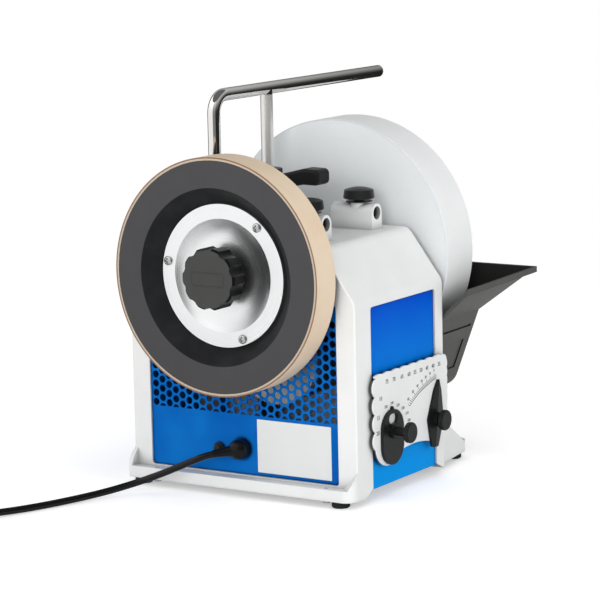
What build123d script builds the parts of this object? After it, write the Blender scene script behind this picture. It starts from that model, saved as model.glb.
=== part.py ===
from build123d import *
import math
import os

# Clearances
seat_gap = 0.02
running_gap = 0.05
pass_gap = 0.3
magnet_gap = 0.1

# Main shaft, along X at y = 0 and z = 0, with x = 0 at the honing wheel's face
shaft_radius = 6.0
shaft_height = 203.0
shaft_lead = 2.0
shaft_tail = 2.5

# Honing wheel
wheel_radius = 110.0
wheel_width = 31.0
leather_thickness = 3.0
rim_thickness = 9.0
rim_face_inner = 82.0
rim_face_thickness = 4.5
dish_depth = 15.5
web_thickness = 4.0
web_outer = 72.0
web_inner = 53.5
dish_slope_gap = 5.0

# Zinc flange in the wheel's dish
flange_radius = 66.0
flange_thickness = 2.5
flange_dish_radius = 52.5
flange_floor_radius = 33.0
flange_floor_depth = 6.5
flange_screw_circle = 60.5
flange_screw_count = 3
flange_screw_start = 10.0
screw_radius = 2.0
screw_head_radius = 4.0
screw_head_height = 2.4

# Drive wheel behind the honing wheel, with a rubber lining inside its rim
drive_radius = 96.0
drive_rim_thickness = 4.0
drive_web_thickness = 4.5
drive_rim_width = 14.5
drive_hub_radius = 13.0
lining_thickness = 4.0
drive_pin_radius = 2.0

# Honing knob
knob_radius = 28.6
knob_reach = 11.5
knob_depth = 21.0
knob_neck_radius = 15.0
knob_lobe_count = 10
knob_notch_radius = 7.0
knob_notch_depth = 3.0
knob_edge = 2.0
knob_floor = 8.5

# Grinding stone, washers and hand nut
stone_radius = 125.0
stone_width = 50.0
stone_edge = 1.0
stone_gap = 8.5
washer_radius = 22.0
washer_thickness = 3.0
nut_radius = 16.0
nut_width = 14.0
nut_notch_count = 8
nut_notch_radius = 3.0
nut_notch_depth = 1.2
nut_edge = 1.2

# Housing casting
house_gap = 8.5
house_length = 159.5
house_half = 124.0
house_wall = 4.0
eave_z = -21.5
roof_z = 27.0
roof_half = 88.0
eave_round = 14.0
roof_round = 12.0
house_round = 1.5
bush_length = 20.0
bush_radius = 10.0
bush_boss_radius = 16.0

# Windows and panels
lip_thickness = 2.0
panel_thickness = 1.2
panel_margin = 5.0
rebate_gap = 0.3
end_window_half = 104.0
end_window_rise = 12.5
end_window_high = -24.0
window_round = 3.0
side_window_start = 27.5
side_window_length = 117.0
side_window_high = -28.5
side_panel_lift = 5.0
post_cut_run = 12.0
post_cut_rise = 6.3
panel_flange = 7.0
panel_flange_inset = 4.0
hole_radius = 3.4
hole_column = 7.6
hole_pitch = 8.8
hole_column_count = 27
hole_rise = 72.5
hole_cut_rise = 69.0
hole_high = -41.0
roller_hole_radius = 12.0
roller_hole_margin = 5.0
plate_left = -95.5
plate_right = -15.0
plate_rise = 16.0
plate_height = 50.0
plate_thickness = 0.3
plate_corner = 0.8

# Base ledges, ribs, lugs and feet
ledge_height = 11.0
ledge_wall = 4.0
honing_ledge_reach = 11.5
honing_ledge_corner = 11.0
honing_ledge_back_corner = 2.0
honing_gusset = 15.0
honing_rib_rise = 15.0
honing_rib_fade = 5.0
honing_rib_bulge = 1.2
honing_rib_thickness = 4.0
rib_thickness = 6.0
stone_ledge_reach = 78.0
stone_ledge_root_inset = 6.0
stone_ledge_taper = 12.0
stone_ledge_round = 12.0
stone_rib_rise = 40.0
stone_rib_length = 70.0
foot_radius = 8.5
foot_height = 6.5
foot_stem_radius = 3.0
foot_stem_length = 5.0
foot_boss_radius = 10.0
foot_boss_height = 7.0
honing_foot_x = -0.5
honing_foot_inset = 18.0
honing_foot_back_inset = 10.0
stone_foot_x = 63.0
stone_foot_inset = 21.0
ledge_screw_inset = 30.0
ledge_screw_x = 6.0
ledge_boss_radius = 5.5
lug_inset = 5.0
lug_reach = 15.0
lug_width = 15.0
lug_height = 16.0
base_screw_length = 12.0
bottom_plate_thickness = 2.0
bottom_plate_margin = 1.5
bottom_plate_start = 12.5
bottom_plate_stop = 8.0

# Sleeves for the tool support, in pairs
rod_radius = 6.0
sleeve_first = 42.5
sleeve_spacing = 90.0
sleeve_rise = 15.0
sleeve_wall = 3.0
sleeve_start_y = -69.5
sleeve_length = 46.0
sleeve_clamp_y = 19.5
tower_y = 52.0
tower_front = 11.0
tower_back = 12.0
tower_half = 10.0
tower_height = 30.0
tower_round = 3.0

# Clamp knobs
clamp_radius = 14.9
clamp_height = 11.2
clamp_taper = 1.0
clamp_dome = 2.8
clamp_disc_radius = 12.5
clamp_disc = 0.5
clamp_neck_radius = 5.0
clamp_neck = 2.3
clamp_stem_radius = 4.0
clamp_pad_radius = 8.0
clamp_pad = 0.8

# Tool support
support_bar_z = 156.5
support_leg_low = -40.0
support_bend = 17.0
support_reach = 301.0
support_end_round = 1.5
micro_radius = 14.0
micro_height = 22.0
micro_notch_count = 18
micro_notch_radius = 1.2
micro_edge = 1.0

# Carrying handle
handle_x = 87.5
handle_half = 11.0
handle_front = -40.0
handle_kink = -22.0
handle_heel = 4.0
handle_stem_front = 14.0
handle_crown = 22.0
handle_stem_back = 38.0
handle_front_under = 45.0
handle_front_top = 60.0
handle_kink_under = 45.5
handle_kink_top = 60.5
handle_heel_under = 40.5
handle_inner_under = 29.0
handle_crown_top = 50.0
handle_back_top = 39.0
handle_round = 5.0
handle_edge = 3.0
handle_screw_spacing = 12.0
handle_screw_length = 14.0

# Water trough round the stone's lower half
trough_gap = 2.0
trough_length = 83.0
trough_wall = 2.5
trough_bottom = -143.0
trough_bottom_half = 85.8
trough_bottom_round = 22.0
trough_kink = -64.0
trough_inner_kink_half = 119.0
trough_outer_kink_half = 116.0
trough_inner_lip_half = 150.0
trough_front_lip = 180.0
trough_inner_lip = -31.0
trough_outer_lip = -17.5
trough_lip_height = 5.5
trough_inner_overhang = 1.5
trough_outer_overhang = 15.0
trough_overhang_slope = 0.38
trough_low_rim = -60.5
trough_low_rim_half = 118.5
trough_recess_depth = 1.2
trough_slot_length = 75.5
trough_slot_low = -79.3
trough_slot_high = -77.0
trough_field_start = 38.0
trough_field_length = 33.0
trough_field_low = -121.0
trough_field_high = -92.0
trough_magnet_radius = 7.0
trough_magnet_y = 60.0
trough_magnet_z = -85.0

# Motor, which hangs on a pivot so that its roller bears on the lining
roller_radius = 5.7
roller_back_gap = 1.5
motor_lean = 17.75
motor_front = 18.5
shield_radius = 47.0
shield_thickness = 8.0
shield_hub_radius = 12.0
shield_hub = 4.0
case_radius = 46.0
case_wall = 2.5
case_length = 76.0
stator_bore = 27.0
stator_end_gap = 4.0
rotor_gap = 0.6
core_end_gap = 6.0
fan_radius = 40.0
fan_width = 10.0
fan_gap = 3.0
fan_blade_count = 9
fan_blade = 2.0
fan_disc = 2.0
fan_hub_radius = 11.0
pivot_arm = 74.0
pivot_turn = -17.75
pivot_radius = 4.0
pivot_overhang = 2.0
lug_eye_radius = 9.0
lug_arm_half = 7.0
cradle_thickness = 3.0
cradle_gap = 2.5
cradle_half = 10.5
cradle_top = 10.5
cradle_strip = 2.0

# Electrical parts inside the base
capacitor_radius = 17.5
capacitor_length = 70.0
capacitor_x = 30.5
capacitor_inset = 32.0
clip_thickness = 1.2
clip_width = 14.0
clip_foot_half = 26.0
terminal_x = 20.5
terminal_length = 20.0
terminal_half = 20.0
terminal_height = 18.0
terminal_slot_count = 4
terminal_slot = 5.0

# Rocker switch on the rear panel
switch_x = 87.5
switch_z = -75.0
bezel_half_x = 16.0
bezel_half_z = 14.0
bezel_thickness = 2.5
switch_half_x = 12.5
switch_half_z = 11.5
switch_depth = 16.0
rocker_radius = 9.0
rocker_half = 9.5
rocker_centre_in = 1.0
rocker_horn_angle = 50.0
rocker_saddle = 4.5
rocker_pin_radius = 1.5
rocker_pin = 1.5

# Reset button on the end panel
reset_y = 27.0
reset_rise = 34.5
reset_button_radius = 3.8
reset_button_reach = 5.5
reset_button_tail = 6.0
reset_ring_radius = 5.6
reset_ring = 3.0
reset_body_radius = 6.5
reset_body = 16.0

# Angle setting gauge on the front panel
gauge_left = 25.2
gauge_length = 130.6
gauge_rise = 31.0
gauge_height = 80.5
gauge_thickness = 3.0
gauge_corner = 6.0
gauge_magnet_radius = 8.0
gauge_magnet = 4.5
gauge_magnet_drop = 19.0
gauge_magnet_left = 22.0
gauge_magnet_spacing = 75.0
gauge_top_bump_count = 8
gauge_top_bump_pitch = 15.3
gauge_top_bump = 1.3
gauge_top_bump_first = 6.4
gauge_side_bump_count = 4
gauge_side_bump_pitch = 16.4
gauge_side_bump = 4.8
gauge_side_bump_first = 11.3
gauge_right_bump_count = 5
gauge_right_bump_pitch = 8.0
gauge_right_bump = 1.0
gauge_right_bump_first = 9.3
gauge_lobe_radius = 21.3
gauge_lobe_rise = 15.5
gauge_bow_radius = 130.0
gauge_bow_depth = 6.0
gauge_bow_x = 66.3
dial_pivot_x = 25.6
dial_pivot_z = 26.0
dial_half = 18.6
dial_straight = 14.3
dial_drop = 5.7
dial_thickness = 3.0
dial_window_length = 15.4
dial_window_width = 9.7
dial_window_rise = 11.5
dial_tip = 3.0
dial_tip_half = 3.2
pointer_pivot_x = 106.3
pointer_pivot_z = 21.5
pointer_length = 37.8
pointer_half = 15.2
pointer_shoulder = 28.0
pointer_shoulder_half = 6.0
pointer_tail = 26.0
pointer_tail_half = 5.8
pointer_lean = 7.2
pointer_round = 2.5
pointer_thickness = 3.0
pointer_edge = 1.2
gauge_knob_radius = 9.7
gauge_knob_width = 5.0
gauge_knob_neck = 4.2
gauge_knob_hub_radius = 7.0
gauge_knob_hub = 3.0
gauge_knob_stem = 2.5
gauge_knob_notch_count = 14
gauge_knob_notch_radius = 1.5
gauge_knob_notch_depth = 0.5
gauge_knob_edge = 0.8
dial_knob_height = 19.8
pointer_knob_height = 10.2

# Mains cord with its gland, coil, tie and plug
cord_radius = 3.3
gland_y = 1.6
gland_rise = 37.0
gland_radius = 9.6
gland_reach = 7.5
gland_collar_root = 6.5
gland_collar_tip = 4.6
gland_collar_length = 14.0
gland_thread_radius = 6.0
gland_nut_radius = 10.0
gland_nut = 5.0
gland_heading = Vector(-0.64, 0.76, -0.12).normalized()
cord_lead = 15.0
cord_falls = [(5.0, 42.0, 31.5), (0.0, 66.0, 20.5), (-10.0, 90.0, 11.0), (-36.0, 110.0, 5.0)]
cord_rests = [(-74.0, 125.5), (-112.0, 139.5)]
coil_leads = [(-149.0, 155.5), (-185.0, 170.0)]
floor_gap = 0.1
coil_lift = 1.3
coil_radius = 50.0
coil_pitch = 7.2
coil_turns_in = 3
coil_turns_out = 2.5
coil_steps = 4
tail_length = 60.0
tail_turn = 8.0
tie_thickness = 0.8
tie_width = 6.0
plug_radius = 18.0
plug_length = 36.0
plug_neck_radius = 6.0
plug_face = 14.0
plug_pin_radius = 2.4
plug_pin_length = 19.0
plug_pin_spacing = 19.0

# Places worked out from the sizes above
base_z = -shaft_height
table_z = base_z - foot_height
ledge_top = base_z + ledge_height
panel_low = base_z + side_panel_lift
plate_base = panel_low + panel_thickness
plate_top = plate_base + bottom_plate_thickness
end_window_low = base_z + end_window_rise
hole_low = base_z + hole_rise
hole_cut_low = base_z + hole_cut_rise
plate_low = base_z + plate_rise
plate_high = plate_low + plate_height
stone_ledge_root_half = house_half - stone_ledge_root_inset
stone_ledge_tip_half = stone_ledge_root_half - stone_ledge_taper
honing_foot_y = house_half - honing_foot_inset
honing_foot_back_y = house_half - honing_foot_back_inset
stone_foot_y = stone_ledge_root_half - stone_foot_inset
ledge_screw_y = house_half - ledge_screw_inset
lug_outer_y = house_half - lug_inset
lug_inner_y = lug_outer_y - lug_reach
capacitor_y = capacitor_inset - house_half
reset_z = base_z + reset_rise
gland_z = base_z + gland_rise
gauge_low = base_z + gauge_rise
gauge_high = gauge_low + gauge_height
house_start = wheel_width + house_gap
house_end = house_start + house_length
stone_start = house_end + stone_gap
stone_end = stone_start + stone_width
nut_start = stone_end + washer_thickness
nut_end = nut_start + nut_width
shaft_end = nut_end + shaft_tail
bore_radius = rod_radius + running_gap
sleeve_z = roof_z + sleeve_rise
sleeve_radius = rod_radius + sleeve_wall
sleeve_xs = (house_start + sleeve_first, house_start + sleeve_first + sleeve_spacing)
clamp_y = sleeve_start_y + sleeve_clamp_y
tower_top = roof_z + tower_height
body_radius = wheel_radius - leather_thickness
web_back = dish_depth + web_thickness
drive_back = web_back + drive_web_thickness
drive_rim_inner = drive_radius - drive_rim_thickness
lining_inner = drive_rim_inner - lining_thickness
flange_floor = dish_depth - flange_thickness + flange_floor_depth
flange_back = flange_floor + flange_thickness
drive_hub_end = house_start - pass_gap
motor_distance = lining_inner - roller_radius - pass_gap
motor_y = -motor_distance * math.sin(math.radians(motor_lean))
motor_z = -motor_distance * math.cos(math.radians(motor_lean))
pivot_y = motor_y + pivot_arm * math.cos(math.radians(pivot_turn))
pivot_z = motor_z + pivot_arm * math.sin(math.radians(pivot_turn))
shield_x = house_start + motor_front
case_x = shield_x + shield_thickness
back_shield_x = case_x + case_length
motor_end = back_shield_x + shield_thickness
fan_x = motor_end + fan_gap
support_end = sleeve_xs[0] + support_reach
panel_x = house_start + lip_thickness
panel_y = house_half - lip_thickness
panel_back_x = panel_x + panel_thickness
panel_back_y = panel_y - panel_thickness
side_window = (house_start + side_window_start, house_start + side_window_start + side_window_length)
gauge_back = -panel_y - magnet_gap - gauge_magnet
gauge_face = gauge_back - gauge_thickness
gauge_x = house_start + gauge_left
gauge_right = gauge_x + gauge_length
trough_start = house_end + trough_gap
trough_end = trough_start + trough_length
tower_knob_y = tower_y + tower_back
coil_z = table_z + coil_lift + cord_radius
cord_z = table_z + floor_gap + cord_radius
origin_x = (support_end - knob_reach) / 2
origin_y = (trough_inner_lip_half - trough_front_lip) / 2
to_origin = Pos(-origin_x, -origin_y, -table_z)


# Shape helpers

def outline(points, radii=None):
    if radii is None:
        return make_face(Polyline(*points, close=True))
    return make_face(FilletPolyline(*points, radius=radii, close=True))


def block(x0, x1, y0, y1, z0, z1):
    middle = Pos((x0 + x1) / 2, (y0 + y1) / 2, (z0 + z1) / 2)
    return middle * Box(x1 - x0, y1 - y0, z1 - z0)


def rod_x(radius, x0, x1, y=0.0, z=0.0):
    return Pos((x0 + x1) / 2, y, z) * Rot(0, 90, 0) * Cylinder(radius, x1 - x0)


def rod_y(radius, y0, y1, x, z):
    return Pos(x, (y0 + y1) / 2, z) * Rot(90, 0, 0) * Cylinder(radius, y1 - y0)


def rod_z(radius, z0, z1, x, y):
    return Pos(x, y, (z0 + z1) / 2) * Cylinder(radius, z1 - z0)


def slab_yz(face, x0, x1):
    return extrude(Plane.YZ.offset(x0) * face, amount=x1 - x0)


def slab_xz(face, y0, y1):
    return extrude(Plane.XZ.offset(-y1) * face, amount=y1 - y0)


def slab_xy(face, z0, z1):
    return extrude(Pos(0, 0, z0) * face, amount=z1 - z0)


def turned(points):
    # The points are (x, radius) and turn about the X axis.
    return revolve(outline(points), Axis.X)


def both_sides(shape):
    return shape + mirror(shape, about=Plane.XZ)


def round_ring(count, radius, start=0.0):
    # Points (y, z) on a circle about the X axis, with angles from +Y towards +Z.
    turns = [math.radians(start + 360.0 * i / count) for i in range(count)]
    return [(radius * math.cos(a), radius * math.sin(a)) for a in turns]


def inset(points, depth):
    # Moves each side of an anticlockwise outline inwards and joins the sides again.
    moved = []
    for i, point in enumerate(points):
        before = points[i - 1]
        after = points[(i + 1) % len(points)]
        first = (Vector(*point) - Vector(*before)).normalized()
        second = (Vector(*after) - Vector(*point)).normalized()
        first_in = Vector(-first.Y, first.X)
        second_in = Vector(-second.Y, second.X)
        middle = (first_in + second_in) * (depth / (1 + first_in.dot(second_in)))
        moved.append((point[0] + middle.X, point[1] + middle.Y))
    return moved


def notched_knob(radius, x0, x1, count, notch_radius, notch_depth, edge):
    # A hand knob about the X axis with round notches along its rim.
    knob = chamfer(rod_x(radius, x0, x1).edges(), edge)
    centre = radius + notch_radius - notch_depth
    for y, z in round_ring(count, centre, 90.0):
        knob -= rod_x(notch_radius, x0 - edge, x1 + edge, y, z)
    return knob


def pan_screw(length):
    # Its head stands below z = 0 and its shank reaches up.
    middle = -screw_head_height / 2
    head = Cylinder(screw_head_radius, screw_head_height)
    head = chamfer(head.edges().group_by(Axis.Z)[0], screw_head_height / 3)
    return Pos(0, 0, middle) * head + rod_z(screw_radius, middle, length, 0, 0)


# Housing casting

def house_profile(depth, bottom):
    points = [
        (-house_half, bottom - depth),
        (house_half, bottom - depth),
        (house_half, eave_z),
        (roof_half, roof_z),
        (-roof_half, roof_z),
        (-house_half, eave_z),
    ]
    rounds = [0, 0, eave_round - depth, roof_round - depth, roof_round - depth, eave_round - depth]
    return outline(inset(points, depth), rounds)


def shell():
    outer = slab_yz(house_profile(0.0, base_z), house_start, house_end)
    ends = (house_start, house_end)
    edges = [edge for edge in outer.edges() if edge.center().Z > base_z + seat_gap]
    corners = [edge for edge in edges if any(abs(edge.center().X - end) < seat_gap for end in ends)]
    outer = fillet(corners, house_round)
    inner = house_profile(house_wall, base_z)
    return outer - slab_yz(inner, house_start + house_wall, house_end - house_wall)


def honing_ledge_plan(depth, back):
    # As wide as the housing, with a broad round at the front corner and a small one behind.
    front = house_start - honing_ledge_reach + depth
    half = house_half - depth
    corners = [(front, -half), (back, -half), (back, half), (front, half)]
    return outline(corners, [honing_ledge_corner - depth, 0, 0, honing_ledge_back_corner])


def honing_gusset_wedge():
    # A three-sided pyramid in the corner between the ledge, the end wall and the front.
    root = house_wall / 4
    leg = honing_gusset + 2 * root
    low = ledge_top - root
    corner = (house_start + root, -house_half)
    foot = outline([corner, (corner[0], leg - house_half), (corner[0] - leg, -house_half)])
    return loft([Pos(0, 0, low) * foot, Vertex(*corner, low + leg)])


def honing_ledge():
    front = house_start - honing_ledge_reach
    back = house_start + house_wall
    ledge = slab_xy(honing_ledge_plan(0.0, back), base_z, ledge_top)
    ledge -= slab_xy(honing_ledge_plan(ledge_wall, house_start), base_z, ledge_top - ledge_wall)
    rise = ledge_top + honing_rib_rise
    fade = rise + honing_rib_fade
    bulge_x = (front + house_start) / 2 - honing_rib_bulge
    bulge_z = (ledge_top + rise) / 2 + honing_rib_bulge
    rib_face = make_face([
        ThreePointArc((front, ledge_top), (bulge_x, bulge_z), (house_start, rise)),
        Line((house_start, rise), (back, fade)),
        Line((back, fade), (back, ledge_top)),
        Line((back, ledge_top), (front, ledge_top)),
    ])
    rib = slab_xz(rib_face, house_half - honing_rib_thickness, house_half)
    bounds = slab_xy(honing_ledge_plan(0.0, back), base_z, fade)
    return ledge + (rib & bounds) + (honing_gusset_wedge() & bounds)


def stone_ledge():
    root = house_end - house_wall
    tip = house_end + stone_ledge_reach
    plan = [
        (root, -stone_ledge_root_half),
        (tip, -stone_ledge_tip_half),
        (tip, stone_ledge_tip_half),
        (root, stone_ledge_root_half),
    ]
    ledge = slab_xy(outline(plan, [0, stone_ledge_round, stone_ledge_round, 0]), base_z, ledge_top)
    inner = inset(plan, ledge_wall)
    inner_round = stone_ledge_round - ledge_wall
    ledge -= slab_xy(outline(inner, [0, inner_round, inner_round, 0]), base_z, ledge_top - ledge_wall)
    taper = math.degrees(math.atan2(stone_ledge_root_half - stone_ledge_tip_half, tip - root))
    rib_face = outline([(0, ledge_top), (stone_rib_length, ledge_top), (0, ledge_top + stone_rib_rise)])
    rib = slab_xz(rib_face, 0, rib_thickness)
    rib_start = house_end - house_wall / 2
    rib_y = -stone_ledge_root_half + (rib_start - root) * math.tan(math.radians(taper))
    return ledge + both_sides(Pos(rib_start, rib_y, 0) * Rot(0, 0, taper) * rib)


def foot_places():
    near = house_start + honing_foot_x
    far = house_end + stone_foot_x
    return [(near, -honing_foot_y), (near, honing_foot_back_y), (far, -stone_foot_y), (far, stone_foot_y)]


def ledge_screw_places():
    x = house_start - ledge_screw_x
    return [(x, -ledge_screw_y), (x, ledge_screw_y)]


def lug_starts():
    return (house_start + house_wall, house_end - house_wall - lug_width)


def base_screw_places():
    y = (lug_inner_y + lug_outer_y) / 2
    places = []
    for start, shift in zip(lug_starts(), (lug_width / 6, 0)):
        x = start + lug_width / 2 + shift
        places += [(x, -y), (x, y)]
    return places


def front_sleeve(x):
    # A round-topped block on the roof, with a pad for its clamp knob.
    end = sleeve_start_y + sleeve_length
    root = roof_z - house_wall / 2
    sleeve = rod_y(sleeve_radius, sleeve_start_y, end, x, sleeve_z)
    sleeve += block(x - sleeve_radius, x + sleeve_radius, sleeve_start_y, end, root, sleeve_z)
    return sleeve + rod_z(clamp_pad_radius, sleeve_z, sleeve_z + sleeve_radius + clamp_pad, x, clamp_y)


def tower(x):
    # An upright block on the roof, with a pad for its clamp knob at the back.
    root = roof_z - house_wall / 2
    body = block(x - tower_half, x + tower_half, tower_y - tower_front, tower_knob_y, root, tower_top)
    body = fillet(body.edges().filter_by(Axis.Z), tower_round)
    return body + rod_y(clamp_pad_radius, tower_y, tower_knob_y + clamp_pad, x, sleeve_z)


def end_window(depth, x0, x1, radius):
    half = end_window_half + depth
    low = end_window_low - depth
    high = end_window_high + depth
    return slab_yz(outline([(-half, low), (half, low), (half, high), (-half, high)], [radius] * 4), x0, x1)


def housing():
    body = shell() + honing_ledge() + stone_ledge()
    body += rod_x(bush_boss_radius, house_start, house_start + bush_length)
    body += rod_x(bush_boss_radius, house_end - bush_length, house_end)
    for start, wall_y in zip(lug_starts(), (house_half - house_wall, lug_outer_y)):
        lug = block(start, start + lug_width, lug_inner_y, wall_y, plate_top, plate_top + lug_height)
        body += both_sides(lug)
    for x, y in foot_places():
        body += rod_z(foot_boss_radius, base_z, base_z + foot_boss_height, x, y)
    for x, y in ledge_screw_places():
        body += rod_z(ledge_boss_radius, base_z, ledge_top - ledge_wall / 2, x, y)
    for x in sleeve_xs:
        body += front_sleeve(x)
        body += tower(x)
    body -= rod_x(bush_radius + seat_gap, house_start - house_wall, house_end + house_wall)
    body -= end_window(0.0, house_start - house_wall, house_start + house_wall, window_round)
    body -= end_window(panel_margin + rebate_gap, panel_x, house_start + house_wall, window_round)
    for side in (-1, 1):
        body -= side_window_cut(side)
    rod_root = roof_z - 2 * house_wall
    sleeve_end_y = sleeve_start_y + sleeve_length
    for x in sleeve_xs:
        body -= rod_y(bore_radius, sleeve_start_y - house_wall, sleeve_end_y + house_wall, x, sleeve_z)
        body -= rod_z(clamp_stem_radius + running_gap, sleeve_z, sleeve_z + 2 * sleeve_radius, x, clamp_y)
        body -= rod_z(bore_radius, rod_root, tower_top + house_wall, x, tower_y)
        body -= rod_y(clamp_stem_radius + running_gap, tower_y, tower_knob_y + house_wall, x, sleeve_z)
    for x, y in foot_places():
        body -= rod_z(foot_stem_radius + seat_gap, base_z, base_z + foot_stem_length + pass_gap, x, y)
    for x, y in ledge_screw_places():
        body -= rod_z(screw_radius + seat_gap, base_z, base_z + ledge_height, x, y)
    for x, y in base_screw_places():
        body -= rod_z(screw_radius + seat_gap, plate_base, plate_base + base_screw_length + pass_gap, x, y)
    for x, y in handle_screw_places():
        body -= rod_z(screw_radius + seat_gap, roof_z - 2 * house_wall, roof_z + house_wall, x, y)
    return body


def side_window_cut(side):
    # The opening runs down to the base, and its rebate takes the panel from inside.
    opening = rectangle_xz(side_window, base_z - house_wall, side_window_high, window_round)
    opening += outline([
        (side_window[0] - post_cut_run, base_z),
        (side_window[1] + post_cut_run, base_z),
        (side_window[1], base_z + post_cut_rise),
        (side_window[0], base_z + post_cut_rise),
    ])
    margin = panel_margin + rebate_gap
    span = (side_window[0] - margin, side_window[1] + margin)
    rebate = rectangle_xz(span, base_z - house_wall, side_window_high + margin, window_round)
    outer = sorted((side * (house_half - house_wall), side * (house_half + house_wall)))
    inner = sorted((side * (house_half - house_wall), side * panel_y))
    return slab_xz(opening, *outer) + slab_xz(rebate, *inner)


def rectangle_xz(span, low, high, radius):
    points = [(span[0], low), (span[1], low), (span[1], high), (span[0], high)]
    return outline(points, [0, 0, radius, radius])


# Panels and base

def hole_places():
    # Staggered columns of round holes, kept away from the motor's roller.
    places = []
    half = hole_column_count // 2
    for column in range(-half, half + 1):
        y = column * hole_column
        z = hole_low
        if (column - half) % 2:
            z -= hole_pitch / 2
        while z < hole_high:
            clear = math.hypot(y - motor_y, z - motor_z) > roller_hole_radius + roller_hole_margin
            if clear:
                places.append((y, z))
            z += hole_pitch
    return places


def end_panel():
    half = end_window_half + panel_margin
    face = outline([
        (-half, end_window_low - panel_margin),
        (half, end_window_low - panel_margin),
        (half, end_window_high + panel_margin),
        (-half, end_window_high + panel_margin),
    ], [window_round] * 4)
    holes = []
    for y, z in hole_places():
        hole = Pos(y, z) * Circle(hole_radius)
        if z - hole_radius < hole_cut_low:
            hole -= Pos(y, hole_cut_low - hole_radius) * Rectangle(4 * hole_radius, 2 * hole_radius)
        holes.append(hole)
    holes.append(Pos(motor_y, motor_z) * Circle(roller_hole_radius))
    holes.append(Pos(gland_y, gland_z) * Circle(gland_thread_radius + seat_gap))
    holes.append(Pos(reset_y, reset_z) * Circle(reset_button_radius + 2 * running_gap))
    return slab_yz(face - holes, panel_x, panel_back_x)


def side_panel(side):
    span = (side_window[0] - panel_margin, side_window[1] + panel_margin)
    face = rectangle_xz(span, panel_low, side_window_high + panel_margin, window_round)
    panel = slab_xz(face, panel_back_y, panel_y)
    inner = panel_y - panel_flange
    first = side_window[0] + panel_flange_inset
    last = side_window[1] - panel_flange_inset
    panel += block(first, last, inner, panel_y, panel_low, plate_base)
    return panel if side > 0 else mirror(panel, about=Plane.XZ)


def rear_panel():
    panel = side_panel(1)
    half_x = switch_half_x + pass_gap
    half_z = switch_half_z + pass_gap
    x = house_start + switch_x
    inner = panel_back_y - house_wall
    return panel - block(x - half_x, x + half_x, inner, house_half, switch_z - half_z, switch_z + half_z)


def rating_plate():
    face = outline([
        (plate_left, plate_low),
        (plate_right, plate_low),
        (plate_right, plate_high),
        (plate_left, plate_high),
    ], [plate_corner] * 4)
    return slab_yz(face, panel_x - plate_thickness, panel_x)


def bottom_plate():
    half = house_half - house_wall - bottom_plate_margin
    first = house_start + bottom_plate_start
    plate = block(first, house_end - bottom_plate_stop, -half, half, plate_base, plate_top)
    for x, y in base_screw_places():
        plate -= rod_z(screw_radius + seat_gap, plate_base - house_wall, plate_top + house_wall, x, y)
    return plate


def feet():
    stem_top = base_z + foot_stem_length
    shapes = []
    for x, y in foot_places():
        pad = rod_z(foot_radius, table_z, base_z, x, y)
        pad = chamfer(pad.edges().group_by(Axis.Z)[0], foot_height / 6)
        shapes.append(pad + rod_z(foot_stem_radius, base_z - foot_height / 2, stem_top, x, y))
    return Compound(shapes)


def base_screws():
    shapes = [Pos(x, y, plate_base) * pan_screw(base_screw_length) for x, y in base_screw_places()]
    short = pan_screw(ledge_height - ledge_wall)
    shapes += [Pos(x, y, base_z) * short for x, y in ledge_screw_places()]
    return Compound(shapes)


def shaft_bush(x0):
    bush = rod_x(bush_radius, x0, x0 + bush_length)
    return bush - rod_x(shaft_radius + running_gap, x0, x0 + bush_length)


# Handle

def handle_screw_places():
    y = (handle_stem_front + handle_stem_back) / 2
    half = handle_screw_spacing / 2
    return [(house_start + handle_x, y - half), (house_start + handle_x, y + half)]


def handle():
    profile = [
        (handle_stem_front, 0),
        (handle_stem_back, 0),
        (handle_stem_back, handle_back_top),
        (handle_crown, handle_crown_top),
        (handle_kink, handle_kink_top),
        (handle_front, handle_front_top),
        (handle_front, handle_front_under),
        (handle_kink, handle_kink_under),
        (handle_heel, handle_heel_under),
        (handle_stem_front, handle_inner_under),
    ]
    points = [(y, roof_z + z) for y, z in profile]
    rounds = [0, 0] + [handle_round] * (len(points) - 2)
    x = house_start + handle_x
    body = slab_yz(outline(points, rounds), x - handle_half, x + handle_half)
    sides = (x - handle_half, x + handle_half)
    above = [edge for edge in body.edges() if edge.center().Z > roof_z + seat_gap]
    edges = [edge for edge in above if any(abs(edge.center().X - side) < seat_gap for side in sides)]
    body = fillet(edges, handle_edge)
    low = roof_z - house_wall
    for x, y in handle_screw_places():
        body -= rod_z(screw_radius + seat_gap, low, low + handle_screw_length + pass_gap, x, y)
    return body


def handle_screws():
    screw = pan_screw(handle_screw_length)
    return Compound([Pos(x, y, roof_z - house_wall) * screw for x, y in handle_screw_places()])


# Spindle: shaft, honing wheel, drive wheel and stone

def shaft_bore(x0, x1, gap=seat_gap):
    return rod_x(shaft_radius + gap, x0, x1)


def pin_x():
    return (drive_back + drive_hub_end) / 2


def main_shaft():
    shaft = chamfer(rod_x(shaft_radius, -shaft_lead, shaft_end).edges(), shaft_radius / 6)
    return shaft - rod_y(drive_pin_radius + seat_gap, -shaft_radius, shaft_radius, pin_x(), 0.0)


def honing_wheel_body():
    body = turned([
        (0, body_radius),
        (wheel_width, body_radius),
        (wheel_width, body_radius - rim_thickness),
        (rim_face_thickness, body_radius - rim_thickness),
        (rim_face_thickness, rim_face_inner + rim_face_thickness),
        (web_back, web_outer),
        (web_back, web_inner),
        (dish_depth, web_inner),
        (dish_depth, web_outer - dish_slope_gap),
        (0, rim_face_inner),
    ])
    for y, z in round_ring(flange_screw_count, flange_screw_circle, flange_screw_start):
        body -= rod_x(screw_radius + seat_gap, 0, web_back + web_thickness, y, z)
    return body


def leather_band():
    return rod_x(wheel_radius, 0, wheel_width) - rod_x(body_radius + seat_gap, 0, wheel_width)


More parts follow.
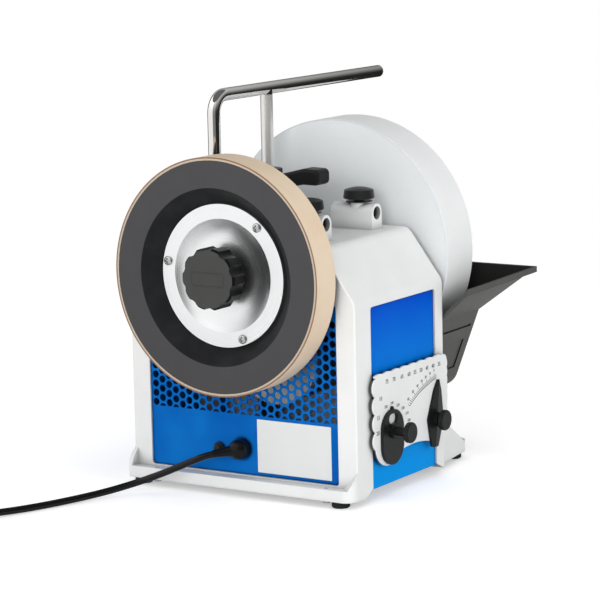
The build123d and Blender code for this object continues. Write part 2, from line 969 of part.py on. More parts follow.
def dish_slope(x):
    # One hollow arc from the flange's rim, at x, that runs level into its floor.
    run = flange_dish_radius - flange_floor_radius
    radius = (run ** 2 + flange_floor_depth ** 2) / (2 * flange_floor_depth)
    half_angle = math.asin(run / radius) / 2
    floor = x + flange_floor_depth
    middle = (floor - radius * (1 - math.cos(half_angle)), flange_floor_radius + radius * math.sin(half_angle))
    return [ThreePointArc((x, flange_dish_radius), middle, (floor, flange_floor_radius))]


def honing_flange():
    face = dish_depth - flange_thickness
    bore = shaft_radius + seat_gap
    profile = dish_slope(face) + dish_slope(dish_depth)
    profile += Polyline(
        (face, flange_dish_radius),
        (face, flange_radius),
        (dish_depth, flange_radius),
        (dish_depth, flange_dish_radius),
    ).edges()
    profile += Polyline(
        (flange_back, flange_floor_radius),
        (flange_back, bore),
        (flange_floor, bore),
        (flange_floor, flange_floor_radius),
    ).edges()
    flange = revolve(make_face(profile), Axis.X)
    for y, z in round_ring(flange_screw_count, flange_screw_circle, flange_screw_start):
        flange -= rod_x(screw_radius + seat_gap, 0, wheel_width, y, z)
    return flange


def flange_screws():
    face = dish_depth - flange_thickness
    length = drive_back - face
    shapes = []
    for y, z in round_ring(flange_screw_count, flange_screw_circle, flange_screw_start):
        shapes.append(Pos(face, y, z) * Rot(0, 90, 0) * pan_screw(length))
    return Compound(shapes)


def drive_wheel():
    rim_back = web_back + drive_rim_width
    spigot = web_inner + pass_gap
    wheel = turned([
        (flange_back, shaft_radius + seat_gap),
        (flange_back, spigot),
        (web_back, spigot),
        (web_back, drive_radius),
        (rim_back, drive_radius),
        (rim_back, drive_rim_inner),
        (drive_back, drive_rim_inner),
        (drive_back, spigot),
        (flange_back + drive_web_thickness, spigot - drive_web_thickness),
        (flange_back + drive_web_thickness, drive_hub_radius),
        (drive_hub_end, drive_hub_radius),
        (drive_hub_end, shaft_radius + seat_gap),
    ])
    for y, z in round_ring(flange_screw_count, flange_screw_circle, flange_screw_start):
        wheel -= rod_x(screw_radius + seat_gap, 0, wheel_width, y, z)
    return wheel - rod_y(drive_pin_radius + seat_gap, -drive_hub_radius, drive_hub_radius, pin_x(), 0.0)


def drive_lining():
    rim_back = web_back + drive_rim_width
    ring = rod_x(drive_rim_inner - seat_gap, drive_back, rim_back)
    return ring - rod_x(lining_inner, drive_back, rim_back)


def drive_pin():
    return rod_y(drive_pin_radius, -drive_hub_radius, drive_hub_radius, pin_x(), 0.0)


def honing_knob():
    front = -knob_reach
    back = front + knob_depth
    knob = notched_knob(
        knob_radius, front, back, knob_lobe_count, knob_notch_radius, knob_notch_depth, knob_edge,
    )
    knob += rod_x(knob_neck_radius, back - knob_edge, flange_floor)
    return knob - shaft_bore(front + knob_floor, flange_floor, running_gap)


def stone():
    body = chamfer(rod_x(stone_radius, stone_start, stone_end).edges(), stone_edge)
    return body - shaft_bore(stone_start, stone_end)


def inner_washer():
    start = house_end + pass_gap
    return rod_x(washer_radius, start, stone_start) - shaft_bore(start, stone_start)


def outer_washer():
    return rod_x(washer_radius, stone_end, nut_start) - shaft_bore(stone_end, nut_start)


def stone_nut():
    nut = notched_knob(
        nut_radius, nut_start, nut_end, nut_notch_count, nut_notch_radius, nut_notch_depth, nut_edge,
    )
    return nut - shaft_bore(nut_start, nut_end, running_gap)


# Motor, which swings on its pivot, and its rotor

def motor_shield(x0, hub_side):
    # A round end shield with its hub, and an arm that ends in the pivot's eye.
    x1 = x0 + shield_thickness
    hub_start, hub_end = (x0 - shield_hub, x1) if hub_side < 0 else (x0, x1 + shield_hub / 2)
    shield = rod_x(shield_radius, x0, x1, motor_y, motor_z)
    shield += rod_x(shield_hub_radius, hub_start, hub_end, motor_y, motor_z)
    arm = block(x0, x1, 0, pivot_arm, -lug_arm_half, lug_arm_half)
    shield += Pos(0, motor_y, motor_z) * Rot(pivot_turn, 0, 0) * arm
    shield += rod_x(lug_eye_radius, x0, x1, pivot_y, pivot_z)
    shield -= rod_x(roller_radius + running_gap, hub_start, hub_end, motor_y, motor_z)
    return shield - rod_x(pivot_radius + running_gap, x0, x1, pivot_y, pivot_z)


def motor_case():
    case = rod_x(case_radius, case_x, back_shield_x, motor_y, motor_z)
    return case - rod_x(case_radius - case_wall, case_x, back_shield_x, motor_y, motor_z)


def stator():
    x0 = case_x + stator_end_gap
    x1 = back_shield_x - stator_end_gap
    core = rod_x(case_radius - case_wall - seat_gap, x0, x1, motor_y, motor_z)
    return core - rod_x(stator_bore, x0, x1, motor_y, motor_z)


def rotor_shaft():
    tip = drive_back + roller_back_gap
    shaft = rod_x(roller_radius, tip, fan_x + fan_width + fan_disc, motor_y, motor_z)
    return chamfer(shaft.edges(), roller_radius / 8)


def rotor_core():
    x0 = case_x + core_end_gap
    x1 = back_shield_x - core_end_gap
    core = rod_x(stator_bore - rotor_gap, x0, x1, motor_y, motor_z)
    return core - rod_x(roller_radius + seat_gap, x0, x1, motor_y, motor_z)


def cooling_fan():
    fan = rod_x(fan_hub_radius, fan_x, fan_x + fan_width)
    fan += rod_x(fan_radius, fan_x, fan_x + fan_disc)
    root = fan_hub_radius - fan_blade
    blade = block(fan_x, fan_x + fan_width, root, fan_radius - fan_blade, -fan_blade / 2, fan_blade / 2)
    for i in range(fan_blade_count):
        fan += Rot(360.0 * i / fan_blade_count, 0, 0) * blade
    fan -= rod_x(roller_radius + seat_gap, fan_x, fan_x + fan_width)
    return Pos(0, motor_y, motor_z) * fan


def cradle_faces():
    front = shield_x - cradle_gap - cradle_thickness
    back = motor_end + cradle_gap - cradle_thickness / 2
    return front, back


def motor_cradle():
    front, back = cradle_faces()
    low = plate_top
    high = pivot_z + cradle_top
    end = back + cradle_thickness
    cradle = block(front, end, pivot_y - cradle_half, pivot_y + cradle_half, low, low + cradle_strip)
    for x in (front, back):
        cradle += block(x, x + cradle_thickness, pivot_y - cradle_half, pivot_y + cradle_half, low, high)
        cradle -= rod_x(pivot_radius + seat_gap, x, x + cradle_thickness, pivot_y, pivot_z)
    return cradle


def pivot_rod():
    front, back = cradle_faces()
    end = back + cradle_thickness + pivot_overhang
    return rod_x(pivot_radius, front - pivot_overhang, end, pivot_y, pivot_z)


# Electrical parts inside the base

def capacitor_centre():
    return plate_top + clip_thickness + seat_gap + capacitor_radius


def capacitor():
    x = house_start + capacitor_x
    can = rod_x(capacitor_radius, x, x + capacitor_length, capacitor_y, capacitor_centre())
    return chamfer(can.edges(), capacitor_radius / 10)


def capacitor_clip():
    middle = house_start + capacitor_x + capacitor_length / 2
    x0 = middle - clip_width / 2
    x1 = middle + clip_width / 2
    inner = capacitor_radius + seat_gap
    clip = rod_x(inner + clip_thickness, x0, x1, capacitor_y, capacitor_centre())
    foot = block(x0, x1, -clip_foot_half, clip_foot_half, plate_top, plate_top + clip_thickness)
    clip += Pos(0, capacitor_y, 0) * foot
    return clip - rod_x(inner, x0, x1, capacitor_y, capacitor_centre())


def terminal_block():
    x = house_start + terminal_x
    top = plate_top + terminal_height
    body = block(x, x + terminal_length, -terminal_half, terminal_half, plate_top, top)
    step = 2 * terminal_half / terminal_slot_count
    for i in range(terminal_slot_count):
        y = -terminal_half + (i + 0.5) * step
        half = terminal_slot / 2
        slot = block(x, x + terminal_length / 2, -half, half, top - terminal_slot, top)
        body -= Pos(0, y, 0) * slot
    return body


def rocker_centre():
    return house_start + switch_x, panel_y - rocker_centre_in


def switch_body():
    x, y = rocker_centre()
    low = switch_z - bezel_half_z
    high = switch_z + bezel_half_z
    body = block(x - bezel_half_x, x + bezel_half_x, panel_y, panel_y + bezel_thickness, low, high)
    body = fillet(body.edges().filter_by(Axis.Y), bezel_thickness)
    low = switch_z - switch_half_z
    high = switch_z + switch_half_z
    body += block(x - switch_half_x, x + switch_half_x, panel_y - switch_depth, panel_y, low, high)
    half = rocker_half + pass_gap
    body -= rod_x(rocker_radius + pass_gap, x - half, x + half, y, switch_z)
    pin = rocker_half + rocker_pin + pass_gap
    return body - rod_x(rocker_pin_radius + running_gap, x - pin, x + pin, y, switch_z)


def switch_rocker():
    x, y = rocker_centre()
    turn = math.radians(rocker_horn_angle)
    horn_y = y + rocker_radius * math.cos(turn)
    horn_z = rocker_radius * math.sin(turn)
    outside = y + 2 * rocker_radius
    saddle = outline([
        (horn_y, switch_z - horn_z),
        (outside, switch_z - horn_z),
        (outside, switch_z + horn_z),
        (horn_y, switch_z + horn_z),
        (y + rocker_saddle, switch_z),
    ])
    rocker = rod_x(rocker_radius, x - rocker_half, x + rocker_half, y, switch_z)
    rocker -= slab_yz(saddle, x - rocker_half, x + rocker_half)
    pin = rocker_half + rocker_pin
    return rocker + rod_x(rocker_pin_radius, x - pin, x + pin, y, switch_z)


def reset_body_part():
    inner = reset_button_radius + running_gap
    back = panel_back_x + reset_body
    ring = rod_x(reset_ring_radius, panel_x - reset_ring, panel_x, reset_y, reset_z)
    ring -= rod_x(inner, panel_x - reset_ring, panel_x, reset_y, reset_z)
    body = rod_x(reset_body_radius, panel_back_x, back, reset_y, reset_z)
    body -= rod_x(inner, panel_back_x, back - house_wall, reset_y, reset_z)
    return Compound([ring, body])


def reset_button():
    front = panel_x - reset_button_reach
    button = rod_x(reset_button_radius, front, panel_back_x + reset_button_tail, reset_y, reset_z)
    return fillet(button.edges().group_by(Axis.X)[0], reset_button_radius / 4)


# Tool support, clamp knobs and fine adjustment

def support_frame():
    left, right = sleeve_xs
    path = FilletPolyline(
        (left, tower_y, support_leg_low),
        (left, tower_y, support_bar_z),
        (support_end, tower_y, support_bar_z),
        radius=support_bend,
    )
    frame = sweep(Plane(origin=path @ 0, z_dir=path % 0) * Circle(rod_radius), path=path)
    frame += rod_z(rod_radius, support_leg_low, support_bar_z, right, tower_y)
    tip = [edge for edge in frame.edges() if edge.center().X > support_end - seat_gap]
    low = [edge for edge in frame.edges() if edge.center().Z < support_leg_low + seat_gap]
    return chamfer(tip + low, support_end_round)


def micro_nut():
    low = tower_top + pass_gap
    nut = notched_knob(
        micro_radius, low, low + micro_height, micro_notch_count,
        micro_notch_radius, micro_notch_radius, micro_edge,
    )
    nut -= rod_x(bore_radius, low, low + micro_height)
    return Pos(sleeve_xs[1], tower_y, 0) * Rot(0, -90, 0) * nut


def clamp_knob():
    # Along +X from its pad at x = 0, with its stem reaching back to the rod.
    disc = pass_gap + clamp_disc
    neck = disc + clamp_neck
    top = neck + clamp_height
    stem = sleeve_radius + clamp_pad - bore_radius - pass_gap
    shoulder = clamp_radius - clamp_taper
    head = turned([
        (-stem, 0),
        (-stem, clamp_stem_radius),
        (pass_gap, clamp_stem_radius),
        (pass_gap, clamp_disc_radius),
        (disc, clamp_disc_radius),
        (disc, clamp_neck_radius),
        (neck, clamp_neck_radius),
        (neck, shoulder),
        (neck + clamp_taper, clamp_radius),
        (top - clamp_dome, shoulder),
        (top, shoulder),
        (top, 0),
    ])
    dome_radius = (shoulder ** 2 + clamp_dome ** 2) / (2 * clamp_dome)
    return head & Pos(top - dome_radius, 0, 0) * Sphere(dome_radius)


def front_clamp(x):
    return Pos(x, clamp_y, sleeve_z + sleeve_radius + clamp_pad) * Rot(0, -90, 0) * clamp_knob()


def rear_clamp(x):
    return Pos(x, tower_knob_y + clamp_pad, sleeve_z) * Rot(0, 0, 90) * rear_clamp_knob()


def rear_clamp_knob():
    longer = tower_back - sleeve_radius
    tip = bore_radius + pass_gap - tower_back - clamp_pad
    return clamp_knob() + rod_x(clamp_stem_radius, tip, -longer / 2)


# Water trough

def trough_section(share, lip_lift):
    # The section changes evenly from the housing side, share 0, to the far end, share 1.
    def between(first, last):
        return first + (last - first) * share

    lip = between(trough_inner_lip, trough_outer_lip)
    kink_half = between(trough_inner_kink_half, trough_outer_kink_half)
    front = between(trough_inner_lip_half, trough_front_lip)
    overhang = between(trough_inner_overhang, trough_outer_overhang)
    return [
        (-front, lip + lip_lift),
        (-front, lip - trough_lip_height),
        (-front + overhang, lip - trough_lip_height - overhang * trough_overhang_slope),
        (-kink_half, trough_kink),
        (-trough_bottom_half, trough_bottom),
        (trough_bottom_half, trough_bottom),
        (kink_half, trough_kink),
        (trough_inner_lip_half, lip - trough_lip_height),
        (trough_inner_lip_half, lip + lip_lift),
    ]


def trough_loft(x0, x1, depth, lip_lift):
    radius = trough_bottom_round - depth
    rounds = [0, 0, 0, 0, radius, radius, 0, 0, 0]
    faces = []
    for x in (x0, x1):
        share = (x - trough_start) / trough_length
        points = inset(trough_section(share, lip_lift), depth)
        faces.append(Plane.YZ.offset(x) * outline(points, rounds))
    return loft(faces, ruled=True)


def trough_recess(x0, x1, z0, z1):
    # A shallow field sunk in the sloped front wall.
    field = block(x0, x1, -trough_front_lip, -trough_bottom_half, z0, z1)
    return field - trough_loft(trough_start, trough_end, trough_recess_depth, 0.0)


def trough():
    body = trough_loft(trough_start, trough_end, 0.0, 0.0)
    lift = trough_front_lip - trough_inner_lip_half
    body -= trough_loft(trough_start + trough_wall, trough_end - trough_wall, trough_wall, lift)
    cut_half = trough_inner_lip_half - trough_wall
    cut_z = trough_inner_lip - trough_lip_height + trough_wall
    cut = outline([
        (-trough_low_rim_half, trough_low_rim),
        (trough_low_rim_half, trough_low_rim),
        (cut_half, cut_z),
        (cut_half, trough_inner_lip + lift),
        (-cut_half, trough_inner_lip + lift),
        (-cut_half, cut_z),
    ])
    body -= slab_yz(cut, trough_start - trough_wall, trough_start + trough_wall)
    body -= trough_recess(trough_start, trough_start + trough_slot_length, trough_slot_low, trough_slot_high)
    field = trough_start + trough_field_start
    return body - trough_recess(field, field + trough_field_length, trough_field_low, trough_field_high)


def trough_magnets():
    end = trough_start - magnet_gap
    magnet = rod_x(trough_magnet_radius, house_end, end, trough_magnet_y, trough_magnet_z)
    return Compound([magnet, mirror(magnet, about=Plane.XZ)])


# Angle setting gauge

def gauge_pivots():
    dial_place = (gauge_x + dial_pivot_x, gauge_low + dial_pivot_z)
    pointer_place = (gauge_x + pointer_pivot_x, gauge_low + pointer_pivot_z)
    return [dial_place, pointer_place]


def bump(pitch, rise):
    # A round cap on a straight edge, as wide as the pitch.
    radius = (pitch ** 2 / 4 + rise ** 2) / (2 * rise)
    return (Pos(0, rise - radius) * Circle(radius)) & Rectangle(pitch, 2 * rise)


def gauge_plate():
    lobe_x = gauge_x + gauge_lobe_radius
    lobe_z = gauge_low + gauge_lobe_rise
    face = outline([
        (lobe_x, gauge_low),
        (gauge_right, gauge_low),
        (gauge_right, gauge_high),
        (gauge_x, gauge_high),
        (gauge_x, lobe_z),
        (lobe_x, lobe_z),
    ], [0, gauge_corner, gauge_corner, gauge_corner, 0, 0])
    bow_z = gauge_low + gauge_bow_depth - gauge_bow_radius
    face -= Pos(gauge_x + gauge_bow_x, bow_z) * Circle(gauge_bow_radius)
    face += Pos(lobe_x, lobe_z) * Circle(gauge_lobe_radius)
    for i in range(gauge_top_bump_count):
        x = gauge_x + gauge_top_bump_first + i * gauge_top_bump_pitch
        face += Pos(x, gauge_high) * bump(gauge_top_bump_pitch, gauge_top_bump)
    for i in range(gauge_side_bump_count):
        z = gauge_high - gauge_side_bump_first - i * gauge_side_bump_pitch
        face += Pos(gauge_x, z) * Rot(0, 0, 90) * bump(gauge_side_bump_pitch, gauge_side_bump)
    for i in range(gauge_right_bump_count):
        z = gauge_high - gauge_right_bump_first - i * gauge_right_bump_pitch
        face += Pos(gauge_right, z) * Rot(0, 0, -90) * bump(gauge_right_bump_pitch, gauge_right_bump)
    for x, z in gauge_pivots():
        face -= Pos(x, z) * Circle(gauge_knob_stem + running_gap)
    return slab_xz(face, gauge_face, gauge_back)


def gauge_magnets():
    z = gauge_high - gauge_magnet_drop
    first = gauge_x + gauge_magnet_left
    places = (first, first + gauge_magnet_spacing)
    end = gauge_back + gauge_magnet
    return Compound([rod_y(gauge_magnet_radius, gauge_back, end, x, z) for x in places])


def gauge_dial():
    x, z = gauge_pivots()[0]
    face = Pos(0, -dial_drop) * Rot(0, 0, 90) * SlotCenterToCenter(dial_straight, 2 * dial_half)
    top = dial_straight / 2 + dial_half - dial_drop
    face += outline([(-dial_tip_half, top - dial_tip), (dial_tip_half, top - dial_tip), (0, top + dial_tip)])
    face -= Pos(0, dial_window_rise) * SlotOverall(dial_window_length, dial_window_width)
    face -= Circle(gauge_knob_stem + running_gap)
    back = gauge_face - magnet_gap
    return slab_xz(Pos(x, z) * face, back - dial_thickness, back)


def gauge_pointer():
    x, z = gauge_pivots()[1]
    face = outline([
        (-pointer_tail_half, -pointer_tail),
        (pointer_tail_half, -pointer_tail),
        (pointer_half, 0),
        (pointer_shoulder_half, pointer_shoulder),
        (0, pointer_length),
        (-pointer_shoulder_half, pointer_shoulder),
        (-pointer_half, 0),
    ], [pointer_round, pointer_round, 2 * pointer_round, pointer_round, 0, pointer_round, 2 * pointer_round])
    back = gauge_face - magnet_gap
    front = back - pointer_thickness
    edge = back - pointer_edge
    roof = outline([
        (-pointer_half, edge),
        (0, front),
        (pointer_half, edge),
        (pointer_half, back),
        (-pointer_half, back),
    ])
    body = slab_xz(face, front, back) & slab_xy(roof, -pointer_tail, pointer_length)
    body += rod_y(gauge_knob_hub_radius, front, back, 0, 0)
    body -= rod_y(gauge_knob_stem + running_gap, front, back, 0, 0)
    return Pos(x, 0, z) * Rot(0, pointer_lean, 0) * body


def gauge_knob(place, thickness, height):
    # A notched disc on a neck, whose stem passes through the dial or pointer into the plate.
    x, z = place
    under = gauge_face - 2 * magnet_gap - thickness
    disc = height - gauge_knob_width
    knob = notched_knob(
        gauge_knob_radius, disc, height, gauge_knob_notch_count,
        gauge_knob_notch_radius, gauge_knob_notch_depth, gauge_knob_edge,
    )
    knob += rod_x(gauge_knob_neck, 0, disc + gauge_knob_edge)
    knob += rod_x(gauge_knob_hub_radius, 0, gauge_knob_hub)
    knob += rod_x(gauge_knob_stem, under - gauge_back, gauge_knob_hub)
    return Pos(x, under, z) * Rot(0, 0, -90) * knob


# Mains cord

def gland_centre():
    return Vector(panel_x - gland_reach, gland_y, gland_z)


def cord_gland():
    # A ball fitting, whose collar turns towards the cord's way, and its nut inside.
    centre = gland_centre()
    tip = centre.X - gland_radius
    slant = gland_radius * math.sqrt(0.5)
    dome = make_face([
        Line((tip, 0), (panel_x, 0)),
        Line((panel_x, 0), (panel_x, gland_radius)),
        Line((panel_x, gland_radius), (centre.X, gland_radius)),
        ThreePointArc((centre.X, gland_radius), (centre.X - slant, slant), (tip, 0)),
    ])
    body = Pos(0, gland_y, gland_z) * revolve(dome, Axis.X)
    collar = Cone(gland_collar_root, gland_collar_tip, gland_collar_length)
    collar = Pos(0, 0, gland_collar_length / 2) * collar
    body += Plane(origin=centre, z_dir=gland_heading) * collar
    thread_end = panel_back_x + gland_nut + running_gap
    body += rod_x(gland_thread_radius, panel_x, thread_end, gland_y, gland_z)
    nut = Pos(gland_y, gland_z) * RegularPolygon(gland_nut_radius, 6)
    return body + slab_yz(nut, panel_back_x, panel_back_x + gland_nut)


def cord_route():
    start = gland_centre() + gland_heading * gland_collar_length
    points = [start, start + gland_heading * cord_lead]
    points += [Vector(x, y, table_z + height) for x, y, height in cord_falls]
    points += [Vector(x, y, cord_z) for x, y in cord_rests]
    return points + [Vector(x, y, coil_z) for x, y in coil_leads]


def bend_radii(points):
    radii = []
    for before, point, after in zip(points, points[1:], points[2:]):
        first = point - before
        second = after - point
        half_turn = math.radians(first.get_angle(second)) / 2
        radii.append(0.45 * min(first.length, second.length) / math.tan(half_turn))
    return radii


def tube(path):
    return sweep(Plane(origin=path @ 0, z_dir=path % 0) * Circle(cord_radius), path=path)


def volume_share(body, path):
    return round(body.volume / (path.length * math.pi * cord_radius ** 2), 4)


def cord():
    points = cord_route()
    radii = bend_radii(points)
    path = FilletPolyline(*points, radius=radii)
    body = tube(path)
    print("cord bend radii", [round(radius, 1) for radius in radii])
    print("cord length", round(path.length, 1), "tube volume share", volume_share(body, path))
    return body


def coil_entry():
    before, end = cord_route()[-2:]
    return end, (end - before).normalized()


def coil_start_angle():
    # The spiral draws in from its first turn on, so it starts a little past square.
    end, heading = coil_entry()
    return math.atan2(heading.X, -heading.Y) + math.atan2(coil_pitch / (2 * math.pi), coil_radius)


def coil_centre():
    end, heading = coil_entry()
    angle = coil_start_angle()
    return end + heading * 2 * cord_radius - Vector(math.cos(angle), math.sin(angle), 0) * coil_radius


def coil_station(turn):
    # Place and heading after some turns: in along the floor, up a layer in half a turn, then out.
    inner_radius = coil_radius - coil_pitch * coil_turns_in
    climb_end = coil_turns_in + 0.5
    dip = coil_pitch / (2 * math.pi)
    rise = 0.0
    z_slope = 0.0
    if turn < coil_turns_in:
        radius = coil_radius - coil_pitch * turn
        slope = -dip
    elif turn < climb_end:
        half_circle = math.pi * (turn - coil_turns_in) / 0.5
        radius = inner_radius - dip * math.sin(half_circle)
        slope = -dip * math.cos(half_circle)
        rise = coil_pitch * (1 - math.cos(half_circle)) / 2
        z_slope = coil_pitch * math.sin(half_circle) / 2
    else:
        radius = inner_radius + coil_pitch * (turn - climb_end)
        slope = dip
        rise = coil_pitch
    angle = coil_start_angle() - 2 * math.pi * turn
    out = Vector(math.cos(angle), math.sin(angle), 0)
    along = Vector(math.sin(angle), -math.cos(angle), 0)
    place = coil_centre() + out * radius + Vector(0, 0, rise)
    way = along * radius + out * slope + Vector(0, 0, z_slope)
    return place, way.normalized()


def smooth_turn(first, first_way, last, last_way):
    # Two tangent arcs from one place and heading to the next.
    reach = last - first
    ways = first_way + last_way
    spare = 2 * (1 - first_way.dot(last_way))
    side = reach.dot(ways)
    step = (math.sqrt(side * side + spare * reach.dot(reach)) - side) / spare
    middle = (first + last + (first_way - last_way) * step) / 2
    middle_way = (middle - first - first_way * step).normalized()
    start_arc = Edge.make_tangent_arc(first, first_way, middle)
    return [start_arc, Edge.make_tangent_arc(middle, middle_way, last)]


def coil_path():
    end, heading = coil_entry()
    turns = coil_turns_in + 0.5 + coil_turns_out
    stations = [coil_station(i / coil_steps) for i in range(int(turns * coil_steps) + 1)]
    edges = [Edge.make_line(end, stations[0][0])]
    for before, after in zip(stations, stations[1:]):
        edges += smooth_turn(*before, *after)
    last, way = stations[-1]
    plug_end, plug_way = plug_place()
    edges += smooth_turn(last, way, plug_end - plug_way * 2 * cord_radius, plug_way)
    edges.append(Edge.make_line(plug_end - plug_way * 2 * cord_radius, plug_end))
    return Wire(edges)


def plug_place():
    # Where the cord enters the plug, which lies on its side beyond the coil.
    last, way = coil_station(coil_turns_in + 0.5 + coil_turns_out)
    level = Vector(way.X, way.Y, 0).normalized()
    turned_way = level.rotate(Axis.Z, -tail_turn)
    place = last + turned_way * tail_length
    return Vector(place.X, place.Y, table_z + floor_gap + plug_radius), turned_way


def least_self_gap(path):
    # Distance between passes of the tube, on points far enough apart along it.
    count = int(path.length / cord_radius)
    points = [path.position_at(i / count) for i in range(count + 1)]
    apart = 6 * int(2 * math.pi * cord_radius / cord_radius)
    pairs = ((first, last) for i, first in enumerate(points) for last in points[i + apart:])
    return min((first - last).length for first, last in pairs) - 2 * cord_radius


def cord_coil():
    path = coil_path()
    body = tube(path)
    print("coil length", round(path.length, 1), "tube volume share", volume_share(body, path))
    print("coil least gap", round(least_self_gap(path), 3))
    return body


def cord_tie():
    # A band round all the turns, half a turn from where the cord enters.
    turn = coil_turns_in + 0.5
    place, way = coil_station(turn)
    inner = coil_radius - coil_pitch * coil_turns_in - cord_radius - pass_gap
    outer = coil_radius - coil_pitch * 0.5 + cord_radius + pass_gap
    low = coil_z - cord_radius - pass_gap
    high = coil_z + coil_pitch + cord_radius + pass_gap
    wall = tie_thickness
    band = block(inner - wall, outer + wall, -tie_width / 2, tie_width / 2, low - wall, high + wall)
    band -= block(inner, outer, -tie_width / 2, tie_width / 2, low, high)
    centre = coil_centre()
    turn_angle = math.degrees(math.atan2(place.Y - centre.Y, place.X - centre.X))
    return Pos(centre.X, centre.Y, 0) * Rot(0, 0, turn_angle) * band


def plug():
    # A round plug with two pins, turned about its own axis along the cord's way.
    place, way = plug_place()
    body = turned([
        (0, 0),
        (0, plug_neck_radius),
        (plug_length - plug_face, plug_radius - plug_neck_radius / 2),
        (plug_length - plug_face, plug_radius),
        (plug_length, plug_radius),
        (plug_length, 0),
    ])
    half = plug_pin_spacing / 2
    for side in (-1, 1):
        tip = plug_length + plug_pin_length
        body += rod_x(plug_pin_radius, plug_length - plug_face, tip, side * half, 0)
    angle = math.degrees(math.atan2(way.Y, way.X))
    return Pos(place + way * seat_gap) * Rot(0, 0, angle) * body


# Every piece by its name
dial_place, pointer_place = gauge_pivots()
pieces = {
    "housing": housing(),
    "end_panel": end_panel(),
    "front_panel": side_panel(-1),
    "rear_panel": rear_panel(),
    "rating_plate": rating_plate(),
    "bottom_plate": bottom_plate(),
    "feet": feet(),
    "base_screws": base_screws(),
    "honing_bush": shaft_bush(house_start),
    "stone_bush": shaft_bush(house_end - bush_length),
    "handle": handle(),
    "handle_screws": handle_screws(),
    "main_shaft": main_shaft(),
    "honing_wheel_body": honing_wheel_body(),
    "leather_band": leather_band(),
    "honing_flange": honing_flange(),
    "flange_screws": flange_screws(),
    "drive_wheel": drive_wheel(),
    "drive_lining": drive_lining(),
    "drive_pin": drive_pin(),
    "honing_knob": honing_knob(),
    "stone": stone(),
    "inner_washer": inner_washer(),
    "outer_washer": outer_washer(),
    "stone_nut": stone_nut(),
    "motor_front_shield": motor_shield(shield_x, -1),
    "motor_rear_shield": motor_shield(back_shield_x, 1),
    "motor_case": motor_case(),
    "stator": stator(),
    "rotor_shaft": rotor_shaft(),
    "rotor_core": rotor_core(),
    "cooling_fan": cooling_fan(),
    "motor_cradle": motor_cradle(),
    "pivot_rod": pivot_rod(),
    "capacitor": capacitor(),
    "capacitor_clip": capacitor_clip(),
    "terminal_block": terminal_block(),
    "switch_body": switch_body(),
    "switch_rocker": switch_rocker(),
    "reset_body": reset_body_part(),
    "reset_button": reset_button(),
    "support_frame": support_frame(),
    "micro_nut": micro_nut(),
    "front_clamp_left": front_clamp(sleeve_xs[0]),
    "front_clamp_right": front_clamp(sleeve_xs[1]),
    "rear_clamp_left": rear_clamp(sleeve_xs[0]),
    "rear_clamp_right": rear_clamp(sleeve_xs[1]),
    "trough": trough(),
    "trough_magnets": trough_magnets(),
    "gauge_plate": gauge_plate(),
    "gauge_magnets": gauge_magnets(),
    "gauge_dial": gauge_dial(),
    "gauge_pointer": gauge_pointer(),
    "dial_knob": gauge_knob(dial_place, dial_thickness, dial_knob_height),
    "pointer_knob": gauge_knob(pointer_place, pointer_thickness, pointer_knob_height),
    "cord_gland": cord_gland(),
    "cord": cord(),
    "cord_coil": cord_coil(),
    "cord_tie": cord_tie(),
    "plug": plug(),
}

os.makedirs("parts", exist_ok=True)
for name, shape in pieces.items():
    export_step(to_origin * shape, f"parts/{name}.step")
print(len(pieces), "pieces")
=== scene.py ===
import math

import bmesh
import bpy
import numpy as np
from mathutils import Matrix, Vector


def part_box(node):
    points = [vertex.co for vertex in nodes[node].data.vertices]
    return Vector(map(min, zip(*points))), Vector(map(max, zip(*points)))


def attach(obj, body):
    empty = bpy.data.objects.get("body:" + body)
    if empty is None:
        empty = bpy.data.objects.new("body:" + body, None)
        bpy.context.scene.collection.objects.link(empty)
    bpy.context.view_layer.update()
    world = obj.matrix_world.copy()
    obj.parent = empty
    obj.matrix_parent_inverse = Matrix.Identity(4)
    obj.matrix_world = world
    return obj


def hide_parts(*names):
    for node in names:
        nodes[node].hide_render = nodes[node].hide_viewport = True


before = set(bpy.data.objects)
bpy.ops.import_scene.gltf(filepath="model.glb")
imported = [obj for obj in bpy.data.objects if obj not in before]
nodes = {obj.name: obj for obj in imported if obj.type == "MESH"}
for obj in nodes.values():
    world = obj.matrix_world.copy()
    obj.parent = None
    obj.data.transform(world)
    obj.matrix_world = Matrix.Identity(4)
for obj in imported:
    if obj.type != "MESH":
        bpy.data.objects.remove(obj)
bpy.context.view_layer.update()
scene = bpy.context.scene
scene.view_settings.view_transform = "Standard"
shaftPoint = Vector((-0.18575, 0.015, 0.2095))  # metres, the honing wheel's face on the shaft


def at(x, y, z):
    # a place in metres, from millimetres along and about the shaft
    return shaftPoint + Vector((x, y, z)) / 1000


# Camera at the photograph's place

cameraSettings = {
    "azimuth": -57.272,  # degrees round the object, from its front
    "elevation": 9.358,
    "roll": -1.281,
    "distance": 2444.8,  # millimetres
    "sideStep": 77.66,
    "rise": -19.91,
    "lens": 161.93,
    "farClip": 20.0,  # metres
}


def makeCamera(s):
    turn, tilt, roll = (math.radians(s[key]) for key in ("azimuth", "elevation", "roll"))
    back = Vector((math.sin(turn) * math.cos(tilt), -math.cos(turn) * math.cos(tilt), math.sin(tilt)))
    level = Vector((math.cos(turn), math.sin(turn), 0))
    upright = back.cross(level)
    right = math.cos(roll) * level + math.sin(roll) * upright
    up = math.cos(roll) * upright - math.sin(roll) * level
    data = bpy.data.cameras.new("camera")
    data.lens = s["lens"]
    data.clip_end = s["farClip"]
    camera = bpy.data.objects.new("camera", data)
    scene.collection.objects.link(camera)
    stand = at(*(back * s["distance"] + right * s["sideStep"] + up * s["rise"]))
    turnMatrix = Matrix((right, up, back)).transposed().to_4x4()
    camera.matrix_world = Matrix.Translation(stand) @ turnMatrix
    scene.camera = camera


makeCamera(cameraSettings)
print("camera set")


# Material helpers

